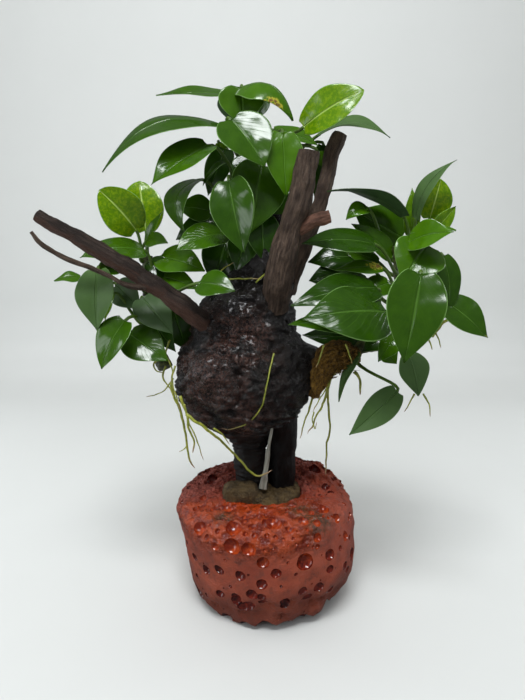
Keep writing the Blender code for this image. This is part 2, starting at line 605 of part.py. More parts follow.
def add_rhizomes():
    for clump in RHIZOMES:
        add_limb("rhizome_" + clump, rhizome_sections(clump), "rhizome", RHIZOME_AROUND, RHIZOME_RELIEF)


def blade_width(t, young):
    """Half width of a blade at t along it, 1 at its widest. Young leaves have a rounder tip."""
    reach = math.pi * min(t, 0.999) ** (0.8 if young else 0.66)
    return max(0.02, math.sin(reach) ** (0.6 if young else 0.7 + 0.3 * t))


def leaf_rings(leaf):
    """Rings of six points from the foot of the stalk to the tip of the blade."""
    base, tip = spot(*leaf.base), spot(*leaf.tip)
    young = leaf.name in LIME_LEAVES
    length = (tip - base).length
    along = (tip - base).normalized()
    up = Vector(leaf.faces)
    up = (up - along * up.dot(along)).normalized()
    side = along.cross(up)

    def middle(t):
        return base + along * (length * t) + up * (leaf.arch * length * 4 * t * (1 - t))

    sections = rhizome_sections(leaf.name.split("_")[1])
    place = leaf.at * (len(sections) - 1)
    start = int(min(place, len(sections) - 2))
    core = sections[start][0].lerp(sections[start + 1][0], place - start)
    core_radius = sections[start][1]
    growth = (sections[start + 1][0] - sections[start][0]).normalized()
    setting = (middle(0.1) - base).normalized()
    rise = (base - core).length
    arrive = base - setting * min(STALK_ARRIVAL, rise * 0.3)
    leave = arrive - core
    leave = (leave - growth * leave.dot(growth)).normalized()
    foot = core + leave * (core_radius + 2 * GAP)
    controls = [foot, foot + leave * rise * 0.3, arrive, base]
    stalk = [bezier(controls, share) for share in STALK_STATIONS]

    rings = []
    points = [*stalk, base]
    backward = frames_along(points[::-1], side)[::-1]
    for point, across, under in backward[:-1]:
        ring = []
        for step in range(len(BLADE_RING)):
            angle = 2 * math.pi * step / len(BLADE_RING)
            ring.append(point + (across * math.cos(angle) - under * math.sin(angle)) * STALK_RADIUS)
        rings.append(ring)
    for t in BLADE_STATIONS:
        heading = (middle(min(t + 0.02, 1.0)) - middle(max(t - 0.02, 0.0))).normalized()
        over = (up - heading * up.dot(heading)).normalized()
        half = max(leaf.width / 2 * blade_width(t, young), STALK_RADIUS if t == 0 else EDGE_RADIUS)
        thick = STALK_RADIUS * HEXAGON if t == 0 else BLADE_THICKNESS / 2 * (1 - 0.4 * t)
        ring = []
        for q, lift in BLADE_RING:
            back = LOBE * length * abs(q) ** 1.5 * math.exp(-((t / LOBE_END) ** 2)) * (t > 0)
            bend = leaf.fold * half * abs(q) ** 1.5
            ring.append(middle(t) - heading * back + side * half * q + over * (bend + lift * thick))
        rings.append(ring)
    return rings


def add_leaves():
    for leaf in LEAVES:
        loft(leaf.name, leaf_rings(leaf), "lime" if leaf.name in LIME_LEAVES else "leaf")


def add_roots():
    for name, (places, thickness) in ROOTS.items():
        curve = bpy.data.curves.new(name, "CURVE")
        curve.dimensions = "3D"
        curve.bevel_depth = thickness / 2 * MM
        curve.bevel_resolution = 1
        curve.use_fill_caps = True
        line = curve.splines.new("POLY")
        line.points.add(len(places) - 1)
        for i, place in enumerate(places):
            line.points[i].co = (*(spot(*place) * MM), 1.0)
            line.points[i].radius = 1.0 - ROOT_TAPER * i / (len(places) - 1)
        shaped = bpy.data.objects.new(name + "_curve", curve)
        PARTS.objects.link(shaped)
        bpy.context.view_layer.update()
        mesh = bpy.data.meshes.new_from_object(shaped.evaluated_get(bpy.context.evaluated_depsgraph_get()))
        form = bmesh.new()
        form.from_mesh(mesh)
        bmesh.ops.remove_doubles(form, verts=form.verts, dist=0.00001)
        bmesh.ops.recalc_face_normals(form, faces=form.faces)
        form.to_mesh(mesh)
        form.free()
        bpy.data.objects.remove(shaped, do_unlink=True)
        mesh.materials.clear()
        mesh.shade_smooth()
        add_object(name, mesh, "root")


clear_scene()
PARTS = make_collection("anubias_on_stone")
CUTTERS = make_collection("cutters")
MATERIALS = make_materials()
add_stone()
BURL, COLUMN = add_driftwood()
add_mortar(BURL, COLUMN)
add_rhizomes()
add_leaves()
add_roots()
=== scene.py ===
"""The looks of an anubias on driftwood in a red pitted stone: fine meshes, materials, lights and camera.

Places are spots of the photograph, (across, down) in its 525 x 700 pixels, each with a chosen depth y in
millimetres, as in the part's own source. spot() turns them into model space.
"""

import math
import random
from collections import namedtuple

import bmesh
import bpy
from mathutils import Matrix, Vector, noise


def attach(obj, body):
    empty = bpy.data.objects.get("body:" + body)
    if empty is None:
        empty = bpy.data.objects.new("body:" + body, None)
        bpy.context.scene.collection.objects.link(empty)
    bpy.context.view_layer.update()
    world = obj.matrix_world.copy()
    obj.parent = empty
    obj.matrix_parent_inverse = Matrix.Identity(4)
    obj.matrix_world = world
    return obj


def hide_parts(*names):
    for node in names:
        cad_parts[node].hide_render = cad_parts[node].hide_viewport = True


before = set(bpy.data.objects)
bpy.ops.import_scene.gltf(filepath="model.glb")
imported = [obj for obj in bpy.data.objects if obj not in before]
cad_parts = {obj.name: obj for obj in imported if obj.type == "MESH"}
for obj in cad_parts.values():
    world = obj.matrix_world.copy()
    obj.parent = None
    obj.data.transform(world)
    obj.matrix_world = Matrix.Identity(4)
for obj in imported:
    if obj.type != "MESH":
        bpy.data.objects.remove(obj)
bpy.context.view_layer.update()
MM = 0.001

# The eye of the photograph, mm and pixels
EYE = Vector((-2.0, -256.0, 184.0))
EYE_PITCH = math.radians(12.0)
PHOTO_FOCAL = 526.0
PHOTO_CENTRE = (262.5, 350.0)
PHOTO_HEIGHT = 700.0
EYE_STEP = 0.25  # how far apart the points of a sight line are tried, mm
SENSOR_WIDTH = 36.0

# Stone, mm
STONE_HEIGHT = 55.0
SOCKET_RADIUS = 18.5
SOCKET_FLOOR = 35.0
SOCKET_WALL = 17.5
# How far the side leans to the right: (height, shift)
STONE_LEAN = [(0.0, 0.5), (10.0, 1.5), (24.0, 2.2), (36.0, 1.2), (48.0, -1.2), (60.0, -1.5)]
HIGH_CORNER = Vector((26.0, 26.0, 55.0))  # the top stands higher here, at the back right
HIGH_RISE = 4.0
HIGH_WIDTH = 17.0
SOCKET_SHIFT = 3.0
# The side's profile: (radius, height)
STONE_SIDE = [
    (33.5, 55.5), (41.0, 54.0), (44.8, 49.5), (45.5, 42.0), (45.0, 32.0),
    (43.8, 20.0), (41.9, 10.0), (39.0, 3.8), (34.8, 0.0),
]
STONE_AROUND = 300
STONE_REACH = 60.0  # the stone lies within this y, to the front and the back
ROUGH_FROM = 44.0  # its skin is roughest above this height
SHARP_STONE = math.radians(38)
# The stone solid's pits on the front: (across, down) and radius in pixels
FRONT_PITS = [
    (200, 528, 7.0), (234, 528, 8.0), (233, 547, 8.4), (249, 547, 7.3), (272, 523, 9.5), (290, 529, 4.6),
    (225, 508, 6.8), (323, 510, 6.4), (303, 521, 5.0), (336, 519, 5.0), (345, 536, 4.5), (330, 555, 5.6),
    (343, 565, 4.2), (330, 569, 4.2), (305, 562, 8.4), (263, 563, 6.0), (276, 573, 5.2), (262, 584, 5.4),
    (240, 576, 5.6), (219, 570, 5.6), (206, 570, 5.0), (196, 556, 4.2), (220, 594, 4.4), (236, 598, 5.2),
    (252, 595, 5.8), (285, 603, 4.8), (303, 592, 4.6), (319, 588, 5.4), (216, 545, 4.0), (253, 526, 4.2),
    (318, 538, 4.4),
]
# Smaller pits between those, which the stone's solid leaves out
FINE_PITS = [
    (265, 507, 4.6), (292, 505, 4.4), (316, 523, 3.8), (343, 505, 2.8), (348, 519, 2.6), (349, 537, 2.6),
    (198, 575, 2.8), (193, 572, 2.2), (245, 534, 3.0), (255, 536, 3.4), (211, 527, 2.4), (218, 531, 2.6),
    (267, 537, 2.4), (275, 537, 2.2), (262, 597, 4.4), (243, 610, 6.2), (230, 587, 1.8), (288, 563, 1.8),
    (281, 586, 1.6), (297, 545, 1.5), (189, 541, 2.4), (344, 576, 3.4), (207, 595, 2.8), (205, 520, 3.2),
    (244, 516, 2.6), (311, 513, 3.2), (300, 511, 2.6), (285, 515, 2.6), (258, 516, 3.0), (312, 461, 4.4),
    (324, 468, 3.8), (212, 509, 3.0), (196, 508, 3.6), (203, 497, 3.2), (331, 492, 3.6), (320, 495, 2.6),
    (340, 548, 2.6), (296, 574, 1.8), (270, 550, 1.4), (225, 560, 1.6), (308, 545, 1.6),
]
# Pits that break the bottom edge: degrees round the stone, height and radius, mm
EDGE_PITS = [
    (-91, 0.6, 5.4), (-106, 0.4, 3.8), (-77, 0.6, 4.8), (-64, 1.2, 6.2), (-52, 0.8, 4.6), (-41, 1.6, 5.2),
    (-29, 2.0, 3.6), (-124, 0.8, 3.2), (-140, 1.6, 4.0), (-158, 1.4, 3.2), (-8, 1.4, 3.4), (14, 1.0, 4.0),
    (38, 0.8, 3.0), (66, 1.6, 4.2), (95, 0.8, 3.4), (121, 1.4, 3.8), (150, 1.0, 3.2), (176, 1.6, 3.8),
]
EDGE_RADIUS = 37.0
# More pits just above that edge, (across, down) and radius in pixels
LOW_PITS = [(236, 602, 6.0), (248, 609, 6.6), (263, 606, 4.6), (289, 606, 5.0), (309, 601, 4.6),
            (330, 590, 4.4)]
BACK_PIT_TRIES = 34
BACK_PIT_RADII = (2.2, 4.1)
TOP_PITS = [(-31.0, 12.0, 3.0), (-26.0, 27.0, 2.6), (27.0, 20.0, 3.2), (12.0, 35.0, 2.8), (31.0, 2.0, 2.4)]
PIT_DEPTH = 0.68  # as a share of the radius, as are the next three
FINE_PIT_DEPTH = 0.8
EDGE_PIT_DEPTH = 0.9
LOW_PIT_DEPTH = 0.7
PIT_SPACING = 0.8
FRONT_PIT_OVERLAP = 0.6
FINE_PIT_OVERLAP = 0.35  # as a share of the radius
CRUMB_PITS = 260  # small ragged pits over the broken top and all round
CRUMB_RADII = (0.5, 1.5)
CRUMB_SPACING = 0.1
FRONT_CRUMB = 0.45  # how much smaller they are on the front of the side
PIT_SEED = 7
BOWLS_IN_A_CUT = 16
# Bites out of the bottom edge: (across, down) in pixels and how wide, mm
EDGE_BREAKS = [(257, 617, 8.0), (301, 611, 9.0), (225, 612, 7.0), (335, 597, 7.0)]
# Smaller chips of that edge, and patches of dirt on the shoulder, in the same way
FINE_BREAKS = [(268, 610, 3.2), (244, 618, 3.0), (289, 606, 3.4), (314, 607, 3.6), (325, 600, 3.0),
               (213, 606, 3.0), (282, 620, 3.0), (348, 584, 3.5)]
DIRT_PATCHES = [(296, 508, 6.0), (318, 521, 6.5), (223, 518, 4.0)]
BREAK_DEPTH = 3.6

# Mortar, mm
MORTAR_AROUND = 150
# Its profile: (radius, height)
MORTAR_SIDE = [(18.1, 35.4), (18.1, 51.5), (16.8, 54.6), (11.5, 55.8), (5.0, 55.8)]
MORTAR_CHUNK = Vector((-12.0, -9.5, 55.0))
MORTAR_CHUNK_RISE = 6.0
MORTAR_LUMP = Vector((-13.2, -8.5, 56.5))  # the part of the raised chunk that lies over the rim
MORTAR_LUMP_SIZE = Vector((9.0, 6.5, 5.6))

# Driftwood. The burl: (height, x, y, half width, half depth), mm
BURL_SECTIONS = [
    (41.0, -8.0, 3.0, 7.8, 7.8), (60.0, -8.2, 3.0, 8.2, 8.2), (78.0, -8.5, 3.0, 8.7, 9.0),
    (85.0, -10.5, 2.0, 11.5, 11.5), (89.5, -11.0, 1.0, 17.0, 15.0), (95.0, -12.0, 0.0, 25.0, 19.0),
    (103.0, -11.5, 0.0, 30.5, 23.0), (115.0, -10.5, 0.0, 34.5, 25.5), (127.0, -11.0, 0.0, 33.0, 25.0),
    (135.0, -12.0, 0.0, 26.5, 22.0), (143.0, -12.0, 0.0, 25.0, 20.0), (154.0, -9.0, -1.0, 22.0, 17.5),
    (163.0, -4.5, -1.0, 17.5, 13.5), (172.0, 0.0, 0.0, 12.5, 10.5), (184.0, 2.5, 1.0, 9.0, 8.0),
    (195.0, 4.0, 2.0, 5.0, 4.5),
]
MOUND = Vector((-25.0, -19.0, 118.0))  # round swelling at the burl's front left, bounded by a crease
MOUND_RADIUS = 15.0
# Knobs: place, rise and width
BURL_KNOBS = [
    ((214, 364, -22), 3.6, 10.0), ((236, 322, -20), 3.0, 7.0), ((276, 328, -18), 3.2, 7.5),
    ((262, 378, -24), 2.0, 8.0), ((190, 384, -12), 2.2, 7.0), ((222, 402, -16), 2.0, 6.0),
    ((311, 351, -4), 7.0, 11.0),
    ((224, 311, -19), 2.0, 5.0), ((246, 315, -20), 2.4, 5.0), ((250, 292, -17), 2.4, 5.0),
]
BURL_RELIEF = 2.0
WRINKLE_HEIGHT = 76.0  # where the trunk's wrinkles, the slanting strands and the crease round the burl run
STRAND_HEIGHT = 98.0
CREASE_HEIGHT = 141.0
BURL_AROUND = 240
BURL_STEPS = 18
# The right column: (x, y, height), half width and half depth, mm
RIGHT_COLUMN = [((8.0, 5.4, 41.0), 7.1, 6.2), ((8.0, 5.4, 60.0), 7.3, 6.3), ((8.2, 4.8, 80.0), 7.5, 6.6),
                ((8.0, 2.0, 95.0), 7.8, 7.4), ((5.0, 0.0, 106.0), 7.8, 7.8)]
# The branches: place and radius
LEFT_BRANCH = [((37, 215, -30), 2.7), ((81, 240, -29), 3.5), ((118, 262, -27), 3.9),
               ((142, 277, -25), 4.2), ((173, 298, -21), 4.4), ((195, 315, -15), 4.8), ((214, 330, -6), 5.2)]
TWIG = [((31, 232, -34), 0.9), ((40, 243, -34), 1.1), ((54, 252, -33), 1.1), ((70, 260, -33), 1.1),
        ((89, 267, -32), 1.2), ((109, 276, -31), 1.2), ((127, 285, -30), 1.3), ((146, 288, -27), 1.4)]
FRONT_BRANCH = [((309, 151, -23), 4.3), ((305, 175, -23), 4.9), ((300, 200, -23), 5.1),
                ((290, 230, -22), 5.3), ((283, 256, -20), 6.2), ((278, 282, -17), 6.6),
                ((274, 306, -10), 6.6)]
STUB = [((298, 230, -22), 3.0), ((315, 221, -23), 2.9), ((330, 217, -23), 2.7)]
BACK_BRANCH = [((340, 134, 5), 3.0), ((332, 154, 4), 3.5), ((327, 178, 2), 3.5), ((319, 204, -1), 3.4),
               ((309, 232, -3), 3.5), ((298, 262, -2), 3.7), ((287, 292, 0), 4.0)]
# The torn bark: place, half height and half depth
TORN_BARK = [((314, 396, -8), 2.2, 2.6), ((316, 386, -10), 3.6, 4.2), ((320, 372, -11), 5.4, 5.4),
             ((329, 359, -11), 6.8, 5.4), ((342, 354, -9), 6.6, 4.6), ((353, 354, -8), 5.0, 3.4),
             ((359, 351, -7), 2.4, 1.8)]

SHARP_WOOD = math.radians(60)
END_PINCH = 0.02  # the size of a limb's closing ring, as a share of its last
BARK_FIBRES = 70
BARK_SEED = 5
# Colours of the deep grain, pale grain and flecks, roughness, depth of the relief in metres, and two colours
# of the ridged branch's underside
WOODS = {
    "dark": ((0.002, 0.0019, 0.0020), (0.010, 0.009, 0.009), (0.05, 0.05, 0.055), 0.16, 0.0006),
    "warm": ((0.028, 0.017, 0.012), (0.140, 0.094, 0.066), (0.19, 0.125, 0.090), 0.34, 0.0012),
    "ridged": ((0.012, 0.008, 0.0065), (0.066, 0.044, 0.034), (0.13, 0.085, 0.065), 0.34, 0.0012,
               ((0.040, 0.021, 0.015), (0.150, 0.078, 0.056))),
    "stub": ((0.06, 0.028, 0.018), (0.24, 0.115, 0.075), (0.3, 0.16, 0.11), 0.38, 0.0009),
    "bark": ((0.050, 0.024, 0.006), (0.44, 0.24, 0.045), (0.66, 0.46, 0.14), 0.5, 0.0024),
}

# Rhizomes: place and radius
RHIZOMES = {
    "top": [((222, 281, 15), 3.2), ((231, 250, 13), 3.4), ((239, 205, 14), 3.2), ((244, 165, 14), 2.8),
            ((250, 132, 12), 2.2)],
    "left": [((165, 368, -6), 3.4), ((156, 345, 0), 3.4), ((150, 315, 4), 3.2), ((148, 285, 6), 3.0),
             ((148, 256, 8), 2.4)],
    "right": [((343, 350, 7), 3.2), ((362, 347, 2), 3.4), ((387, 338, 2), 3.4), ((400, 308, 4), 3.2),
              ((400, 275, 4), 3.0), ((398, 246, 3), 2.4)],
}

# Roots that stand for a solid: route and thickness
ROOTS = {
    "root_left_long": ([(186, 414, -24), (202, 426, -24), (218, 438, -20), (233, 452, -14), (250, 471, -12),
                        (261, 476, -11), (272, 470, -11)], 1.5),
    "root_left_1": ([(171, 382, -12), (174, 396, -13), (181, 414, -13), (186, 438, -12), (190, 459, -12),
                     (195, 468, -12)], 1.6),
    "root_left_2": ([(180, 396, -18), (186, 412, -18), (189, 430, -18), (194, 443, -18), (193, 453, -18)],
                    1.4),
    "root_right_1": ([(328, 379, -8), (328, 388, -2), (328, 402, 6), (330, 424, 6), (327, 446, 5),
                      (326, 462, 4), (326, 476, 3)], 1.5),
    "root_right_2": ([(336, 370, -9), (330, 381, -9), (323, 404, -9), (315, 420, -9), (308, 434, -8)], 1.4),
    "root_right_tip": ([(431, 336, -6), (439, 328, -6), (448, 320, -6), (458, 317, -6), (468, 323, -6)], 1.8),
}
# Fine roots that are in this scene alone
FINE_ROOTS = [
    ([(173, 378, -8), (165, 390, -9), (155, 395, -9), (146, 397, -10)], 0.8),
    ([(184, 404, -20), (188, 420, -20), (194, 434, -20), (199, 447, -19), (204, 460, -19)], 0.9),
    ([(187, 446, -12), (183, 450, -12), (179, 452, -12)], 0.7),
    ([(214, 428, -24), (222, 434, -22), (230, 445, -20)], 0.9),
    ([(159, 358, -9), (154, 364, -10), (157, 371, -10), (165, 372, -9)], 1.1),
    ([(166, 366, -10), (163, 376, -11), (168, 386, -11), (175, 392, -12)], 1.1),
    ([(170, 340, -8), (166, 352, -9), (169, 362, -10), (172, 372, -11), (171, 384, -12)], 1.0),
    ([(176, 366, -14), (172, 380, -15), (177, 398, -16), (180, 410, -16)], 1.0),
    ([(336, 369, -13), (332, 377, -13), (327, 388, -13), (318, 402, -13), (313, 412, -13)], 1.0),
    ([(313, 398, -9), (308, 412, -9), (304, 424, -9), (300, 439, -9)], 1.2),
    ([(314, 412, -13), (312, 420, -13), (315, 429, -13), (317, 422, -13)], 0.8),
    ([(346, 344, -15), (350, 354, -15), (352, 364, -14)], 1.1),
    ([(354, 372, -5), (359, 378, -5), (361, 387, -5), (360, 395, -5)], 1.9),
    ([(324, 345, -18), (320, 356, -18), (316, 368, -17)], 1.0),
    ([(427, 336, -8), (431, 344, -8), (432, 350, -8)], 1.0),
    ([(435, 330, -8), (439, 340, -8), (441, 348, -8)], 0.9),
    ([(415, 394, -20), (410, 402, -20), (404, 412, -20)], 0.9),
    ([(423, 394, -20), (429, 404, -20), (430, 417, -20)], 1.0),
    ([(215, 288, -14), (228, 279, -15), (243, 279, -15), (262, 279, -14)], 1.0),
    ([(213, 282, -12), (222, 270, -10), (234, 262, -8)], 0.9),
    ([(108, 318, -12), (104, 335, -12), (101, 352, -12)], 0.7),
    ([(256, 283, -15), (268, 270, -14), (276, 262, -12)], 0.9),
]
# The root that lies on the burl, (across, down), and the pale strip in front of the trunk's gap
BURL_ROOT = [(274, 353), (270, 366), (267, 380), (265, 394), (262, 406), (253, 418), (243, 425), (232, 428),
             (221, 428)]
PALE_STRIP = [((272, 428, -12), 1.2), ((269, 445, -10), 1.7), ((267, 462, -9), 2.4), ((265, 476, -9), 3.2),
              ((263, 489, -9), 3.8)]

# Leaves, mm
BLADE_THICKNESS = 0.55
STALK_RADIUS = 0.9
LOBE = 0.07
BLADE_STEPS = 30
STALK_STEPS = 9
STALK_ARRIVAL = 8.0  # how far before its blade a stalk turns in line with it, at most
STALK_SINK = 0.3  # how deep its foot stands in the rhizome
MIDRIB_GROOVE = 0.28
SIDE_VEINS = 10
ACROSS = 12  # strips over the blade's upper face

# Each leaf: how light and yellow it is, from 0 dark to 1 lime; where its stalk leaves the rhizome, from 0 to
# 1 along it; (across, down, y) of the blade's base and tip; its width; the way it faces; its bend along and
# across. The middle of the name says which rhizome.
Leaf = namedtuple("Leaf", "name tone at base tip width faces arch fold")
LEAVES = [
    ("leaf_top_1", 0.28, 1.00, (229, 94, 8), (156, 95, -6), 15, (0.0, -0.5, 0.85), 0.02, 0.1),
    ("leaf_top_2", 0.25, 0.92, (236, 92, 17), (242, 127, 28), 20, (0.0, 1.0, 0.2), 0.05, 0.1),
    ("leaf_top_3", 0.42, 0.95, (241, 88, 4), (293, 121, -8), 22, (0.3, -0.5, 0.8), 0.27, -0.5),
    ("leaf_top_4", 0.16, 0.80, (222, 125, 2), (102, 172, -16), 22, (-0.1, -0.5, 0.9), 0.19, -0.1),
    ("leaf_top_5", 0.26, 0.86, (231, 120, -14), (265, 167, -21), 25, (0.2, -0.85, 0.5), 0.05, 0.2),
    ("leaf_top_6", 0.5, 0.75, (283, 133, -10), (286, 197, -15), 17, (0.1, -1.0, 0.3), 0.05, 0.1),
    ("leaf_top_7", 0.3, 0.62, (261, 166, -3), (251, 233, -12), 26, (0.3, -0.9, 0.35), 0.08, 0.15),
    ("leaf_top_8", 0.2, 0.55, (229, 181, -18), (244, 253, -24), 20, (-0.3, -0.9, 0.35), 0.08, 0.2),
    ("leaf_top_9", 0.3, 0.68, (208, 146, -6), (151, 185, -20), 20, (-0.3, -0.8, 0.55), 0.06, 0.25),
    ("leaf_top_10", 0.3, 0.50, (199, 180, 2), (187, 236, -2), 17, (-0.65, -0.75, 0.2), 0.4, 0.1),
    ("leaf_top_11", 0.3, 0.30, (210, 211, 8), (177, 207, 7), 14, (0.0, -0.9, 0.4), 0.08, 0.1),
    ("leaf_top_12", 0.3, 0.18, (223, 234, -6), (176, 251, -18), 19, (0.0, -0.65, 0.75), 0.1, 0.1),
    ("leaf_top_13", 0.9, 1.00, (304, 127, 0), (364, 90, -8), 19, (-0.3, -0.9, 0.3), 0.08, 0.15),
    ("leaf_top_14", 0.3, 0.70, (320, 134, 14), (390, 138, 4), 17, (0.1, -0.5, 0.85), 0.18, 0.1),
    ("leaf_top_15", 0.3, 0.90, (274, 130, 15), (320, 147, 12), 12, (0.0, -0.6, 0.8), 0.06, 0.1),
    ("leaf_left_1", 0.95, 0.95, (136, 230, 12), (99, 190, 4), 21, (-0.2, -0.8, 0.6), 0.06, 0.2),
    ("leaf_left_2", 1.0, 1.00, (146, 231, 20), (139, 181, 24), 21, (0.2, -0.9, 0.3), 0.06, 0.2),
    ("leaf_left_3", 0.28, 0.80, (143, 250, -2), (80, 258, -14), 22, (-0.1, -0.55, 0.85), 0.1, 0.0),
    ("leaf_left_4", 0.45, 0.84, (97, 271, -16), (97, 331, -23), 19, (-0.2, -0.9, 0.35), 0.08, 0.15),
    ("leaf_left_5", 0.3, 0.75, (80, 278, 4), (54, 281, 0), 8, (0.0, -0.6, 0.8), 0.1, 0.1),
    ("leaf_left_6", 0.2, 0.40, (125, 321, -22), (102, 369, -28), 17, (-0.4, -0.9, 0.3), 0.08, 0.2),
    ("leaf_left_7", 0.06, 0.52, (117, 285, 3), (140, 309, -5), 15, (-0.3, -0.85, 0.4), 0.08, 0.1),
    ("leaf_left_8", 0.04, 0.45, (143, 298, -8), (173, 334, -17), 17, (0.1, -0.85, 0.5), 0.1, 0.1),
    ("leaf_left_9", 0.3, 0.10, (129, 334, -12), (168, 361, -20), 19, (0.0, -0.8, 0.6), 0.1, 0.1),
    ("leaf_left_10", 0.56, 0.90, (161, 257, 4), (205, 271, -8), 18, (0.0, -0.75, 0.65), 0.08, 0.1),
    ("leaf_left_11", 0.42, 0.70, (160, 277, 0), (199, 290, -11), 12, (0.0, -0.8, 0.6), 0.08, 0.1),
    ("leaf_left_12", 0.22, 0.60, (200, 283, -23), (235, 291, -30), 15, (0.0, -0.75, 0.65), 0.1, 0.1),
    ("leaf_right_1", 0.3, 0.98, (403, 216, 4), (327, 192, -6), 18, (-0.1, 0.05, 1.0), 0.12, 0.1),
    ("leaf_right_2", 0.3, 0.95, (402, 237, 14), (354, 211, 12), 24, (0.0, -0.93, 0.3), 0.05, 0.1),
    ("leaf_right_3", 0.3, 0.90, (391, 257, 4), (351, 224, 4), 12, (0.0, -0.8, 0.6), 0.1, 0.1),
    ("leaf_right_4", 0.06, 0.82, (374, 244, -10), (301, 244, -14), 17, (0.0, -0.65, 0.75), 0.08, 0.0),
    ("leaf_right_5", 0.3, 0.70, (381, 268, -6), (334, 270, -10), 10, (0.0, -0.6, 0.8), 0.08, 0.0),
    ("leaf_right_6", 0.08, 0.35, (386, 312, -24), (302, 319, -38), 30, (-0.1, -0.75, 0.65), 0.1, -0.1),
    ("leaf_right_7", 0.3, 0.64, (389, 283, -7), (357, 300, -10), 13, (0.0, -0.7, 0.7), 0.1, 0.1),
    ("leaf_right_8", 0.14, 0.55, (421, 274, -38), (404, 363, -46), 24, (-0.1, -0.95, 0.35), 0.08, 0.15),
    ("leaf_right_9", 0.3, 0.86, (427, 246, -14), (401, 282, -24), 24, (0.1, -0.75, 0.65), 0.12, 0.1),
    ("leaf_right_10", 0.4, 0.97, (409, 239, -8), (456, 231, -27), 10, (0.0, -0.4, 0.9), 0.1, 0.3),
    ("leaf_right_11", 0.12, 0.50, (445, 301, -10), (488, 338, -18), 18, (0.1, -0.8, 0.5), 0.08, 0.1),
    ("leaf_right_12", 0.35, 1.00, (416, 218, 0), (457, 160, -6), 10, (-0.75, -0.5, 0.4), 0.2, 0.1),
    ("leaf_right_13", 0.95, 0.92, (430, 218, 4), (441, 179, 2), 16, (0.1, -0.9, 0.3), 0.06, 0.15),
    ("leaf_right_14", 0.3, 0.30, (409, 355, -22), (418, 396, -26), 15, (0.2, -0.9, 0.3), 0.08, 0.1),
    ("leaf_right_15", 0.3, 0.10, (397, 392, -18), (349, 435, -28), 14, (0.2, -0.85, 0.5), 0.08, 0.1),
]
